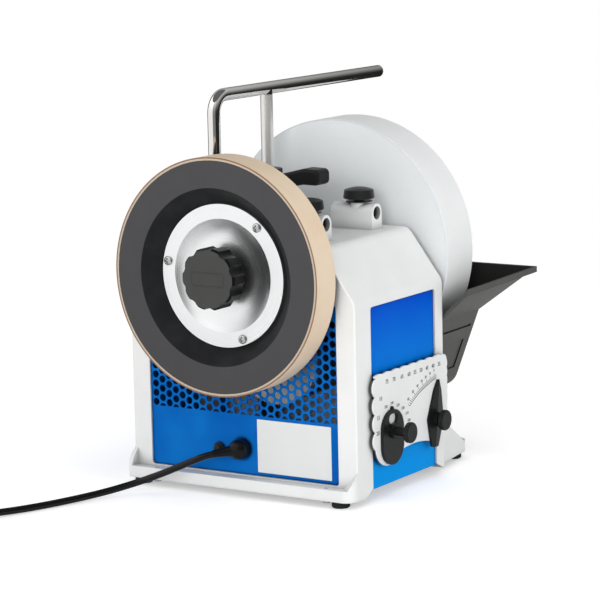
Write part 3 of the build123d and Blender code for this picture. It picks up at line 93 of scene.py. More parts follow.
shaderSamples = {"corners": 8, "edges": 4}


def newMaterial(name, colour, roughness, metallic=0.0, gloss=0.5):
    material = bpy.data.materials.new(name)
    material.use_nodes = True
    tree = material.node_tree
    shader = tree.nodes["Principled BSDF"]
    shader.inputs["Base Color"].default_value = (*colour, 1)
    shader.inputs["Roughness"].default_value = roughness
    shader.inputs["Metallic"].default_value = metallic
    shader.inputs["Specular IOR Level"].default_value = gloss
    return material, tree, shader


def feed(tree, socket, value):
    # a link where the value comes from a node, else a plain setting
    if isinstance(value, bpy.types.NodeSocket):
        tree.links.new(value, socket)
    else:
        socket.default_value = value


def addNode(tree, kind, inputs=None, **settings):
    node = tree.nodes.new(kind)
    for key, value in settings.items():
        setattr(node, key, value)
    for key, value in (inputs or {}).items():
        feed(tree, node.inputs[key], value)
    return node


def place(tree):
    # the object's own coordinates, in metres
    return addNode(tree, "ShaderNodeTexCoord").outputs["Object"]


def axisPart(tree, vector, axis):
    return addNode(tree, "ShaderNodeSeparateXYZ", {0: vector}).outputs[axis]


def noise(tree, vector, scale, detail=3.0, rough=0.55):
    inputs = {"Vector": vector, "Scale": scale, "Detail": detail, "Roughness": rough}
    return addNode(tree, "ShaderNodeTexNoise", inputs).outputs["Fac"]


def maths(tree, operation, first, second=0.0):
    return addNode(tree, "ShaderNodeMath", {0: first, 1: second}, operation=operation).outputs[0]


def vectors(tree, operation, first, second=(0, 0, 0)):
    node = addNode(tree, "ShaderNodeVectorMath", {0: first, 1: second}, operation=operation)
    return node.outputs["Value" if operation in ("LENGTH", "DOT_PRODUCT") else "Vector"]


def between(tree, value, low, high, toLow=0.0, toHigh=1.0):
    # eases from one level to another as the value goes from low to high
    inputs = {"Value": value, "From Min": low, "From Max": high, "To Min": toLow, "To Max": toHigh}
    return addNode(tree, "ShaderNodeMapRange", inputs, interpolation_type="SMOOTHSTEP").outputs["Result"]


def clouds(tree, vector, scale, low, high, detail=3.0, most=1.0):
    # soft patches, from nought to the most that they may be
    return between(tree, noise(tree, vector, scale, detail), low, high, 0.0, most)


def exposure(tree, reach, local=False):
    # one in the open, towards nought in corners and slots no wider than the reach
    settings = {"samples": shaderSamples["corners"], "only_local": local}
    return addNode(tree, "ShaderNodeAmbientOcclusion", {"Distance": reach}, **settings).outputs["AO"]


def mixColours(tree, share, first, second):
    # the Mix node's colours are its sockets 6 and 7, and their mix is its output 2
    node = addNode(tree, "ShaderNodeMix", {0: share}, data_type="RGBA")
    for index, colour in ((6, first), (7, second)):
        feed(tree, node.inputs[index], (*colour, 1) if isinstance(colour, tuple) else colour)
    return node.outputs[2]


def mixTones(tree, share, colour, tones):
    # one colour, darker and lighter
    darker, lighter = (tuple(min(1.0, channel * tone) for channel in colour) for tone in tones)
    return mixColours(tree, share, darker, lighter)


def addBump(tree, shader, height, strength, distance, edge=0.0):
    # surface relief, over edges that are rounded by the given radius
    bump = addNode(tree, "ShaderNodeBump", {"Height": height, "Strength": strength, "Distance": distance})
    if edge:
        soft = addNode(tree, "ShaderNodeBevel", {"Radius": edge}, samples=shaderSamples["edges"])
        tree.links.new(soft.outputs["Normal"], bump.inputs["Normal"])
    tree.links.new(bump.outputs["Normal"], shader.inputs["Normal"])


def setColour(tree, shader, colour):
    tree.links.new(colour, shader.inputs["Base Color"])


def setRoughness(tree, shader, value):
    tree.links.new(value, shader.inputs["Roughness"])


def radiusAbout(tree, vector, centre=shaftPoint, keep=(0, 1, 1)):
    # distance from a line through the centre, along X unless told otherwise
    moved = vectors(tree, "SUBTRACT", vector, tuple(centre))
    return vectors(tree, "LENGTH", vectors(tree, "MULTIPLY", moved, keep))


# Finishes that many pieces share

peelSettings = {
    "scale": 700.0,
    "detail": 2.0,
    "range": (0.2, 0.8),
    "smoother": 0.04,
    "rougher": 0.06,
    "depth": 0.0004,  # metres
}


def addPeel(tree, shader, vector, roughness, strength, edge):
    # sprayed paint's orange peel, a millimetre across, in the relief and in the sheen
    s = peelSettings
    fine = noise(tree, vector, s["scale"], s["detail"])
    sheen = between(tree, fine, *s["range"], roughness - s["smoother"], roughness + s["rougher"])
    setRoughness(tree, shader, sheen)
    addBump(tree, shader, fine, strength, s["depth"], edge)


grainSettings = {
    "detail": 2.0,
    "range": (0.25, 0.75),
    "spread": 0.08,
    "depth": 0.0003,  # metres
}


def addGrain(tree, shader, vector, roughness, strength, scale, edge):
    # moulded plastic's spark-eroded grain, under a millimetre, in the relief and in the sheen
    s = grainSettings
    fine = noise(tree, vector, scale, s["detail"])
    sheen = between(tree, fine, *s["range"], roughness - s["spread"], roughness + s["spread"])
    setRoughness(tree, shader, sheen)
    addBump(tree, shader, fine, strength, s["depth"], edge)


paintSettings = {
    "mottleScale": 24.0,
    "mottleRange": (0.3, 0.7),
}


def paintMaterial(name, colour, roughness, gloss=0.35, peel=0.06, mottle=0.03, edge=0.0008):
    # sprayed paint: broad faint mottling under its orange peel
    s = paintSettings
    material, tree, shader = newMaterial(name, colour, roughness, 0.0, gloss)
    vector = place(tree)
    broad = clouds(tree, vector, s["mottleScale"], *s["mottleRange"])
    setColour(tree, shader, mixTones(tree, broad, colour, (1 - mottle, 1 + mottle)))
    addPeel(tree, shader, vector, roughness, peel, edge)
    return material


plasticSettings = {
    "rubScale": 30.0,
    "rubRange": (0.35, 0.7),
    "rubDetail": 4.0,
    "tones": (0.9, 1.12),
}


def plasticMaterial(name, colour, roughness, gloss=0.35, grain=0.22, grainScale=1500.0, edge=0.0006):
    # moulded plastic: slight rubbing over its grain
    s = plasticSettings
    material, tree, shader = newMaterial(name, colour, roughness, 0.0, gloss)
    vector = place(tree)
    broad = clouds(tree, vector, s["rubScale"], *s["rubRange"], s["rubDetail"])
    setColour(tree, shader, mixTones(tree, broad, colour, s["tones"]))
    addGrain(tree, shader, vector, roughness, grain, grainScale, edge)
    return material


metalSettings = {
    "markDetail": 4.0,
    "markRough": 0.7,
    "markShare": 0.6,
    "patchScale": 40.0,
    "patchShare": 0.4,
    "range": (0.3, 0.7),
    "smoother": 0.75,
    "rougher": 1.3,
    "tones": (0.92, 1.05),
    "depth": 0.0002,  # metres
    "edge": 0.0003,
}


def metalMaterial(name, colour, roughness, scratch=0.05, scale=400.0):
    # worked metal: fine marks and patches of sheen
    s = metalSettings
    material, tree, shader = newMaterial(name, colour, roughness, 1.0)
    vector = place(tree)
    marks = noise(tree, vector, scale, s["markDetail"], s["markRough"])
    patches = noise(tree, vector, s["patchScale"])
    markPart = maths(tree, "MULTIPLY", marks, s["markShare"])
    patchPart = maths(tree, "MULTIPLY", patches, s["patchShare"])
    blend = maths(tree, "ADD", markPart, patchPart)
    sheen = between(tree, blend, *s["range"], roughness * s["smoother"], roughness * s["rougher"])
    setRoughness(tree, shader, sheen)
    setColour(tree, shader, mixTones(tree, patches, colour, s["tones"]))
    addBump(tree, shader, marks, scratch, s["depth"], s["edge"])
    return material


turnedSettings = {
    "ringsPerMetre": 2600.0,
    "ringDetail": 2.0,
    "patchScale": 45.0,
    "range": (0.3, 0.7),
    "smoother": 0.85,
    "rougher": 1.2,
    "tones": (0.96, 1.03),
    "relief": 0.03,
    "depth": 0.0001,  # metres
}


def turnedMetal(name, colour, roughness):
    # spun or turned metal: fine rings round the shaft
    s = turnedSettings
    material, tree, shader = newMaterial(name, colour, roughness, 1.0)
    vector = place(tree)
    radius = maths(tree, "MULTIPLY", radiusAbout(tree, vector), s["ringsPerMetre"])
    ringInputs = {"W": radius, "Scale": 1.0, "Detail": s["ringDetail"]}
    rings = addNode(tree, "ShaderNodeTexNoise", ringInputs, noise_dimensions="1D").outputs["Fac"]
    sheen = between(tree, rings, *s["range"], roughness * s["smoother"], roughness * s["rougher"])
    setRoughness(tree, shader, sheen)
    patches = noise(tree, vector, s["patchScale"])
    setColour(tree, shader, mixTones(tree, patches, colour, s["tones"]))
    addBump(tree, shader, rings, s["relief"], s["depth"])
    return material


# Finishes of single pieces

housingSettings = {
    "white": (0.79, 0.80, 0.795),
    # painted shade, for the enamel's corners and the places next to other parts
    "cornerShade": (0.36, 0.36, 0.36),
    # painted shade in the sleeves' bores, from their mouth to their depth
    "boreMouthShade": (0.3, 0.3, 0.3),
    "boreDeepShade": (0.02, 0.02, 0.02),
    "roughness": 0.36,
    "gloss": 0.35,
    "mottleScale": 22.0,
    "mottleRange": (0.3, 0.7),
    "tones": (0.975, 1.02),
    "cornerShadeReach": 0.016,  # metres
    "dustAndShadeRange": (0.25, 0.9),
    "boreEdge": (0.0066, 0.0061),  # metres from the bore's axis
    "sleeves": (82, 172),  # millimetres, as are the next two
    "sleeveHeight": 42,
    "boreDepths": (-68.5, -63.5),
    "peel": 0.06,
    "edge": 0.001,
}


def housingMaterial(s):
    # off-white enamel with painted shade in its corners and next to other parts, and painted shade in the
    # bores of the two front sleeves, darker deeper in
    material, tree, shader = newMaterial("whiteEnamel", s["white"], s["roughness"], 0.0, s["gloss"])
    vector = place(tree)
    broad = clouds(tree, vector, s["mottleScale"], *s["mottleRange"])
    skin = mixTones(tree, broad, s["white"], s["tones"])
    axes = [at(x, 0, s["sleeveHeight"]) for x in s["sleeves"]]
    left, right = (radiusAbout(tree, vector, axis, (1, 0, 1)) for axis in axes)
    inBore = between(tree, maths(tree, "MINIMUM", left, right), *s["boreEdge"])
    # painted shade: the bores are painted darker the deeper they go along Y
    mouth, dark = (at(0, y, 0).y for y in s["boreDepths"])
    deep = between(tree, axisPart(tree, vector, "Y"), mouth, dark)
    inside = mixColours(tree, deep, s["boreMouthShade"], s["boreDeepShade"])
    # painted shade: the enamel is painted darker where the occlusion node finds surfaces close by
    unshadedCorners = between(tree, exposure(tree, s["cornerShadeReach"]), *s["dustAndShadeRange"])
    withCornerShade = mixColours(tree, unshadedCorners, s["cornerShade"], skin)
    setColour(tree, shader, mixColours(tree, inBore, withCornerShade, inside))
    addPeel(tree, shader, vector, s["roughness"], s["peel"], s["edge"])
    return material


leatherSettings = {
    "tan": (0.74, 0.605, 0.455),
    "warm": (0.66, 0.49, 0.33),
    "face": (0.50, 0.42, 0.33),
    "brown": (0.25, 0.135, 0.08),
    "roughness": 0.62,
    "gloss": 0.3,
    "toneScale": 30.0,
    "toneRange": (0.35, 0.8),
    "toneDetail": 5.0,
    "toneShare": 0.45,
    "faceDepths": (0.15, 0.02),  # millimetres behind the wheel's face
    "cornerRadii": (0.1084, 0.1089),  # metres
    "poreScale": 900.0,
    "poreWidth": 0.25,
    "grainScale": 260.0,
    "grainDetail": 4.0,
    "relief": 0.28,
    "depth": 0.0003,  # metres
}


def leatherMaterial(s):
    # pale tan leather: pores, soft clouds of tone, and a brown line round its front corner
    material, tree, shader = newMaterial("tanLeather", s["tan"], s["roughness"], 0.0, s["gloss"])
    vector = place(tree)
    tone = clouds(tree, vector, s["toneScale"], *s["toneRange"], s["toneDetail"], s["toneShare"])
    skin = mixColours(tree, tone, s["tan"], s["warm"])
    behind, front = (at(x, 0, 0).x for x in s["faceDepths"])
    onFace = between(tree, axisPart(tree, vector, "X"), behind, front)
    faced = mixColours(tree, onFace, skin, s["face"])
    nearCorner = between(tree, radiusAbout(tree, vector), *s["cornerRadii"])
    atCorner = maths(tree, "MULTIPLY", onFace, nearCorner)
    setColour(tree, shader, mixColours(tree, atCorner, faced, s["brown"]))
    cellInputs = {"Vector": vector, "Scale": s["poreScale"]}
    cells = addNode(tree, "ShaderNodeTexVoronoi", cellInputs, feature="DISTANCE_TO_EDGE")
    pores = between(tree, cells.outputs["Distance"], 0.0, s["poreWidth"])
    grain = noise(tree, vector, s["grainScale"], s["grainDetail"])
    addBump(tree, shader, maths(tree, "ADD", pores, grain), s["relief"], s["depth"])
    return material


stoneSettings = {
    "pale": (0.78, 0.805, 0.815),
    "grey": (0.64, 0.67, 0.685),
    # painted light: the rim is painted whiter than the stone's sides
    "rimPaintedLight": (0.82, 0.83, 0.83),
    "roughness": 0.92,
    "gloss": 0.15,
    "speckScale": 2200.0,
    "speckDetail": 2.0,
    "speckRange": (0.45, 0.75),
    "speckShare": 0.5,
    "cloudScale": 18.0,
    "cloudRange": (0.35, 0.7),
    "cloudDetail": 4.0,
    "cloudShare": 0.2,
    "rimRadii": (0.12475, 0.12495),  # metres, as are the next
    "edgeRadii": (0.1233, 0.1239),
    "relief": 0.35,
    "depth": 0.0003,  # metres
}


def stoneMaterial(s):
    # fine abrasive: pale grain with darker specks, greyer at its edges, and painted light on the rim, which
    # is painted whiter
    material, tree, shader = newMaterial("abrasiveStone", s["pale"], s["roughness"], 0.0, s["gloss"])
    vector = place(tree)
    radius = radiusAbout(tree, vector)
    onRim, onEdge = (between(tree, radius, *s[key]) for key in ("rimRadii", "edgeRadii"))
    side = mixColours(tree, onEdge, s["pale"], s["grey"])
    skin = mixColours(tree, onRim, side, s["rimPaintedLight"])
    specks = noise(tree, vector, s["speckScale"], s["speckDetail"])
    speckShare = between(tree, specks, *s["speckRange"], 0.0, s["speckShare"])
    cloudShare = clouds(tree, vector, s["cloudScale"], *s["cloudRange"], s["cloudDetail"], s["cloudShare"])
    darker = maths(tree, "ADD", speckShare, cloudShare)
    setColour(tree, shader, mixColours(tree, darker, skin, s["grey"]))
    addBump(tree, shader, specks, s["relief"], s["depth"])
    return material


chromeSettings = {
    "colour": (0.80, 0.79, 0.765),
    "roughness": 0.06,
    "hazeScale": 60.0,
    "hazeRange": (0.3, 0.75),
    "polish": (0.04, 0.10),
    "legPlace": 172,  # millimetres, as is the next
    "legTop": (151.5, 149.5),
    "legEdge": (0.0068, 0.0062),  # metres from the leg's axis
    "legRougher": 0.28,
    "legMetal": 0.68,
    "drawn": (1.0, 1.0, 0.06),
    "drawnScale": 1500.0,
    "drawnDetail": 2.0,
    "relief": 0.015,
    "depth": 0.0001,  # metres
}


def chromeMaterial(s):
    # polished bar and left leg, and the duller ground finish of the right leg
    material, tree, shader = newMaterial("supportChrome", s["colour"], s["roughness"], 1.0)
    vector = place(tree)
    fromLeg = maths(tree, "SUBTRACT", axisPart(tree, vector, "X"), at(s["legPlace"], 0, 0).x)
    nearLeg = between(tree, maths(tree, "ABSOLUTE", fromLeg), *s["legEdge"])
    above, under = (at(0, 0, z).z for z in s["legTop"])
    onLeg = maths(tree, "MULTIPLY", nearLeg, between(tree, axisPart(tree, vector, "Z"), above, under))
    polish = between(tree, noise(tree, vector, s["hazeScale"]), *s["hazeRange"], *s["polish"])
    setRoughness(tree, shader, maths(tree, "ADD", polish, maths(tree, "MULTIPLY", onLeg, s["legRougher"])))
    tree.links.new(between(tree, onLeg, 0.0, 1.0, 1.0, s["legMetal"]), shader.inputs["Metallic"])
    stretched = vectors(tree, "MULTIPLY", vector, s["drawn"])
    marks = noise(tree, stretched, s["drawnScale"], s["drawnDetail"])
    addBump(tree, shader, marks, s["relief"], s["depth"])
    return material


wheelSettings = {
    "face": (0.064, 0.062, 0.065),
    # painted shade on the dish
    "dish": (0.0145, 0.015, 0.016),
    "dust": (0.1, 0.1, 0.1),
    "dustScale": 34.0,
    "dustAndShadeRange": (0.35, 0.75),
    "dustDetail": 4.0,
    "dustShare": 0.1,
    "roughness": 0.5,
    "gloss": 0.06,
    "dishRadii": (0.0815, 0.0822),  # metres
    "grain": 0.18,
    "grainScale": 1400.0,
    "edge": 0.0008,
}


def wheelMaterial(s):
    # moulded honing wheel: a greyer flat rim, and painted shade that makes the dish darker
    material, tree, shader = newMaterial("wheelPlastic", s["face"], s["roughness"], 0.0, s["gloss"])
    vector = place(tree)
    outside = between(tree, radiusAbout(tree, vector), *s["dishRadii"])
    # painted shade: darker inside the flat rim's radius
    tint = mixColours(tree, outside, s["dish"], s["face"])
    dust = clouds(tree, vector, s["dustScale"], *s["dustAndShadeRange"], s["dustDetail"], s["dustShare"])
    setColour(tree, shader, mixColours(tree, dust, tint, s["dust"]))
    addGrain(tree, shader, vector, s["roughness"], s["grain"], s["grainScale"], s["edge"])
    return material


knobSettings = {
    "face": (0.058, 0.058, 0.057),
    "worn": (0.0406, 0.0406, 0.0399),
    # painted shade: the sides are painted near black, darker than the face
    "side": (0.004, 0.0042, 0.0045),
    "wornScale": 40.0,
    "wornRange": (0.3, 0.75),
    "wornDetail": 4.0,
    "wornShare": 0.12,
    "roughness": 0.36,
    "gloss": 0.1,
    "faceDepths": (-10.9, -11.4),  # millimetres
    "grain": 0.15,
    "grainScale": 1500.0,
    "grainDetail": 2.0,
    "grainRange": (0.25, 0.75),
    "grainDepth": 0.0003,  # metres
    "sideRoughness": (0.26, 0.36),
    "faceRougher": 0.24,
    "edge": 0.0008,
}


def knobMaterial(s):
    # star knob: spark-eroded grey face and polished black sides, the sides painted darker still as painted
    # shade
    material, tree, shader = newMaterial("knobPlastic", s["side"], s["roughness"], 0.0, s["gloss"])
    vector = place(tree)
    behind, front = (at(x, 0, 0).x for x in s["faceDepths"])
    onFace = between(tree, axisPart(tree, vector, "X"), behind, front)
    worn = clouds(tree, vector, s["wornScale"], *s["wornRange"], s["wornDetail"], s["wornShare"])
    face = mixColours(tree, worn, s["face"], s["worn"])
    # the face keeps its grey grain, the sides their painted shade
    setColour(tree, shader, mixColours(tree, onFace, s["side"], face))
    fine = noise(tree, vector, s["grainScale"], s["grainDetail"])
    sheen = between(tree, fine, *s["grainRange"], *s["sideRoughness"])
    setRoughness(tree, shader, maths(tree, "ADD", sheen, maths(tree, "MULTIPLY", onFace, s["faceRougher"])))
    addBump(tree, shader, fine, s["grain"], s["grainDepth"], s["edge"])
    return material


troughSettings = {
    "outside": (0.082, 0.082, 0.078),
    "pale": (0.1066, 0.1066, 0.1014),
    # painted shade on the faces inside the trough
    "insideShade": (0.014, 0.014, 0.0135),
    # painted shade in the grooves
    "grooveShade": (0.004, 0.004, 0.004),
    "paleScale": 30.0,
    "paleRange": (0.35, 0.7),
    "paleDetail": 4.0,
    "paleShare": 0.2,
    "roughness": 0.42,
    "gloss": 0.12,
    "inwardRange": (0.004, 0.012),  # metres, as is the next
    "grooveReach": 0.003,
    "grooveRange": (0.35, 0.8),
    "grain": 0.2,
    "grainScale": 1200.0,
    "edge": 0.0007,
}


def troughMaterial(s):
    # moulded trough: grained grey outside, with painted shade in its grooves and on faces that look
    # towards the middle of the trough's mouth
    material, tree, shader = newMaterial("troughPlastic", s["outside"], s["roughness"], 0.0, s["gloss"])
    vector = place(tree)
    low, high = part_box("trough")
    middle = ((low[0] + high[0]) / 2, (low[1] + high[1]) / 2, high[2])
    normal = addNode(tree, "ShaderNodeNewGeometry").outputs["Normal"]
    # painted shade: faces that look towards the middle of the mouth are painted darker
    facing = vectors(tree, "DOT_PRODUCT", vectors(tree, "SUBTRACT", middle, vector), normal)
    inner = between(tree, facing, *s["inwardRange"])
    pale = clouds(tree, vector, s["paleScale"], *s["paleRange"], s["paleDetail"], s["paleShare"])
    sides = mixColours(tree, inner, mixColours(tree, pale, s["outside"], s["pale"]), s["insideShade"])
    # painted shade: darker where the trough's own surfaces close in, found by the occlusion node
    clear = between(tree, exposure(tree, s["grooveReach"], True), *s["grooveRange"])
    setColour(tree, shader, mixColours(tree, clear, s["grooveShade"], sides))
    addGrain(tree, shader, vector, s["roughness"], s["grain"], s["grainScale"], s["edge"])
    return material


gaugePlateSettings = {
    "white": (0.78, 0.79, 0.785),
    # painted shade for the back of the plate's edge
    "core": (0.06, 0.06, 0.063),
    "roughness": 0.42,
    "gloss": 0.3,
    "mottleScale": 24.0,
    "mottleRange": (0.3, 0.7),
    "tones": (0.988, 1.012),
    "edgeShadeDepths": (-128.2, -127.8),  # millimetres
    "peel": 0.05,
    "edge": 0.0004,
}


def laminateMaterial(s):
    # gauge plate: a white satin face, and painted shade on its edge behind the face, where the gap behind
    # the plate is dark
    material, tree, shader = newMaterial("gaugePlateShadedEdge", s["white"], s["roughness"], 0.0, s["gloss"])
    vector = place(tree)
    broad = clouds(tree, vector, s["mottleScale"], *s["mottleRange"])
    face = mixTones(tree, broad, s["white"], s["tones"])
    # painted shade: the plate's edge is painted dark behind the face
    front, back = (at(0, y, 0).y for y in s["edgeShadeDepths"])
    behind = between(tree, axisPart(tree, vector, "Y"), front, back)
    setColour(tree, shader, mixColours(tree, behind, face, s["core"]))
    addPeel(tree, shader, vector, s["roughness"], s["peel"], s["edge"])
    return material


blueSettings = {
    "deep": (0.0003, 0.032, 0.52),
    # painted reflection of the floor, for the front panel's foot
    "bright": (0.001, 0.29, 0.79),
    # painted shade: the end and rear panels take a darker copy of the blue
    "endShadeDeep": (0.003, 0.105, 0.43),  # the end and rear panels
    "endShadeBright": (0.006, 0.165, 0.55),
    # painted shade in the seams next to the housing
    "seamShade": (0.0003, 0.01, 0.05),
    "tint": (0.02, 0.3, 1.0),
    "roughness": 0.34,
    "gloss": 0.025,
    "reflectionPower": 0.72,
    "mottleScale": 20.0,
    "mottleShare": 0.12,
    "endScale": 9.0,
    "endRange": (0.35, 0.65),
    "frontDepths": (-0.085, -0.095),  # metres, as is the next
    "seamReach": 0.006,
    "seamRange": (0.45, 0.9),
    "peel": 0.05,
    "edge": 0.0008,
}


def bluePaintMaterial(s):
    # bright blue paint that fades to a lighter blue towards the front panel's foot, a painted reflection of
    # the floor, painted darker on the end and rear panels as painted shade, and with painted shade in its
    # seams
    low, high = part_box("front_panel")
    material, tree, shader = newMaterial("bluePaint", s["deep"], s["roughness"], 0.0, s["gloss"])
    shader.inputs["Specular Tint"].default_value = (*s["tint"], 1)
    vector = place(tree)
    # painted reflection: the front panel is painted lighter towards its foot
    drop = maths(tree, "SUBTRACT", axisPart(tree, vector, "Z"), high[2])
    fall = maths(tree, "DIVIDE", drop, low[2] - high[2])
    fade = maths(tree, "POWER", maths(tree, "MAXIMUM", fall), s["reflectionPower"])
    mottle = maths(tree, "MULTIPLY", noise(tree, vector, s["mottleScale"]), s["mottleShare"])
    frontPaintWithReflection = mixColours(tree, maths(tree, "ADD", fade, mottle), s["deep"], s["bright"])
    broad = clouds(tree, vector, s["endScale"], *s["endRange"])
    # painted shade on the end and rear panels
    endShadedPaint = mixColours(tree, broad, s["endShadeDeep"], s["endShadeBright"])
    onFront = between(tree, axisPart(tree, vector, "Y"), *s["frontDepths"])
    paint = mixColours(tree, onFront, endShadedPaint, frontPaintWithReflection)
    # painted shade: darker where the occlusion node finds the housing close by
    clear = between(tree, exposure(tree, s["seamReach"]), *s["seamRange"])
    setColour(tree, shader, mixColours(tree, clear, s["seamShade"], paint))
    addPeel(tree, shader, vector, s["roughness"], s["peel"], s["edge"])
    return material


enamel = housingMaterial(housingSettings)
blue = bluePaintMaterial(blueSettings)
leather = leatherMaterial(leatherSettings)
stoneGrain = stoneMaterial(stoneSettings)
chrome = chromeMaterial(chromeSettings)
wheelPlastic = wheelMaterial(wheelSettings)
knobPlastic = knobMaterial(knobSettings)
troughPlastic = troughMaterial(troughSettings)
gaugePlateShadedEdge = laminateMaterial(gaugePlateSettings)
labelPaint = paintMaterial(
    "barePlate", (0.72, 0.735, 0.73), 0.4, gloss=0.3, peel=0.02, mottle=0.015, edge=0.0002,
)
motorSteel = paintMaterial("motorPaint", (0.05, 0.052, 0.055), 0.45)
black = plasticMaterial("blackPlastic", (0.015, 0.0155, 0.0155), 0.38, gloss=0.3)
gaugeBlack = plasticMaterial("gaugeBlack", (0.009, 0.0095, 0.0095), 0.34, gloss=0.22, grain=0.12)
handlePlastic = plasticMaterial("handlePlastic", (0.010, 0.0105, 0.0105), 0.45, gloss=0.25)
darkPlastic = plasticMaterial("darkPlastic", (0.05, 0.05, 0.052), 0.5)
red = plasticMaterial("redPlastic", (0.42, 0.012, 0.01), 0.25, gloss=0.5, grain=0.03)
glandPlastic = plasticMaterial("glandPlastic", (0.004, 0.0042, 0.0045), 0.2, gloss=0.2, grain=0.02)
rubber = plasticMaterial(
    "blackRubber", (0.012, 0.012, 0.0125), 0.62, gloss=0.3, grain=0.3, grainScale=900.0,
)
cordVinyl = plasticMaterial(
    "cordVinyl", (0.004, 0.004, 0.004), 0.2, gloss=0.3, grain=0.06, grainScale=1100.0, edge=0.0,
)
printInk = plasticMaterial(
    "printInk", (0.07, 0.07, 0.075), 0.6, gloss=0.2, grain=0.02, grainScale=900.0, edge=0.0,
)
strapCloth = plasticMaterial(
    "strapCloth", (0.016, 0.016, 0.017), 0.85, gloss=0.15, grain=0.5, grainScale=1800.0, edge=0.0,
)
zinc = turnedMetal("zincFlange", (0.90, 0.91, 0.915), 0.32)
steel = turnedMetal("turnedSteel", (0.56, 0.56, 0.57), 0.3)
zincPlate = metalMaterial("zincPlate", (0.66, 0.66, 0.64), 0.34)
screwSteel = metalMaterial("screwSteel", (0.58, 0.58, 0.575), 0.2)
motorMetal = metalMaterial("castAluminium", (0.74, 0.73, 0.71), 0.48, scratch=0.2, scale=250.0)
bronze = metalMaterial("bushBronze", (0.55, 0.36, 0.16), 0.35)

nodeMaterials = {
    enamel: ["housing"],
    blue: ["end_panel", "front_panel", "rear_panel"],
    labelPaint: ["rating_plate"],
    black: [
        "stone_nut", "front_clamp_left", "front_clamp_right", "rear_clamp_left", "rear_clamp_right",
        "micro_nut", "switch_body", "reset_body", "reset_button", "cooling_fan",
    ],
    troughPlastic: ["trough"],
    handlePlastic: ["handle"],
    gaugeBlack: ["gauge_dial", "gauge_pointer", "dial_knob", "pointer_knob"],
    glandPlastic: ["cord_gland"],
    darkPlastic: ["drive_wheel", "terminal_block"],
    wheelPlastic: ["honing_wheel_body"],
    knobPlastic: ["honing_knob"],
    gaugePlateShadedEdge: ["gauge_plate"],
    red: ["switch_rocker"],
    rubber: ["feet", "drive_lining", "plug"],
    strapCloth: ["cord_tie"],
    zinc: ["honing_flange"],
    zincPlate: ["bottom_plate", "capacitor_clip", "trough_magnets", "gauge_magnets"],
    steel: ["main_shaft", "inner_washer", "outer_washer"],
    screwSteel: ["base_screws", "handle_screws", "flange_screws", "drive_pin", "pivot_rod", "rotor_shaft"],
    motorMetal: ["motor_front_shield", "motor_rear_shield", "capacitor"],
    motorSteel: ["motor_case", "stator", "rotor_core", "motor_cradle"],
    bronze: ["honing_bush", "stone_bush"],
    leather: ["leather_band"],
    stoneGrain: ["stone"],
    chrome: ["support_frame"],
}
for material, names in nodeMaterials.items():
    for name in names:
        nodes[name].data.materials.clear()
        nodes[name].data.materials.append(material)
print("materials set on", sum(len(names) for names in nodeMaterials.values()), "nodes")


# Mains cord: the same route as its solid, then its coil and the tail to the plug

cordSettings = {
    "radius": 0.0033,  # metres, as are the other lengths
    "length": 1.77,
    "route": [
        (-0.160703, 0.027232, 0.041821), (-0.170297, 0.038622, 0.040023), (-0.18075, 0.057, 0.0315),
        (-0.18575, 0.081, 0.0205), (-0.19575, 0.105, 0.011), (-0.22175, 0.125, 0.005),
        (-0.25975, 0.1405, 0.0034), (-0.29775, 0.1545, 0.0034), (-0.33475, 0.1705, 0.0046),
        (-0.37075, 0.185, 0.0046),
    ],
    "coilRadius": 0.050,
    "coilPitch": 0.0072,
    "turnsIn": 3.0,
    "turnsUp": 0.5,
    "turnsOut": 2.5,
    "stepsPerTurn": 24,
    "tailRun": 0.018,
    "plugRun": 0.022,
    "plugEnd": (-0.428244, 0.219457, 0.0181),
    "plugWay": (-0.8786, 0.4775, 0.0),
    "splineOrder": 3,
    "splineSteps": 8,
    "roundSteps": 6,
}


def coilPoints(s):
    # a flat spiral in, half a turn that climbs one layer along a half cosine, and a
    # spiral out above it, starting one diameter past the route's end and in line with it
    before, end = np.array(s["route"][-2:])
    heading = (end - before) / np.linalg.norm(end - before)
    dip = s["coilPitch"] / (2 * np.pi)
    firstAngle = math.atan2(heading[0], -heading[1]) + math.atan2(dip, s["coilRadius"])
    start = end + heading * 2 * s["radius"]
    centre = start - s["coilRadius"] * np.array([math.cos(firstAngle), math.sin(firstAngle), 0])
    inner = s["coilRadius"] - s["coilPitch"] * s["turnsIn"]
    climbEnd = s["turnsIn"] + s["turnsUp"]
    turn = np.arange(int((climbEnd + s["turnsOut"]) * s["stepsPerTurn"]) + 1) / s["stepsPerTurn"]
    climb = np.pi * np.clip((turn - s["turnsIn"]) / s["turnsUp"], 0, 1)
    goingIn = s["coilRadius"] - s["coilPitch"] * turn
    goingUp = inner - dip * np.sin(climb)
    goingOut = inner + s["coilPitch"] * (turn - climbEnd)
    radius = np.select([turn > climbEnd, turn > s["turnsIn"]], [goingOut, goingUp], goingIn)
    rise = s["coilPitch"] * (1 - np.cos(climb)) / 2
    angle = firstAngle - 2 * np.pi * turn
    return centre + np.stack([np.cos(angle) * radius, np.sin(angle) * radius, rise], -1)


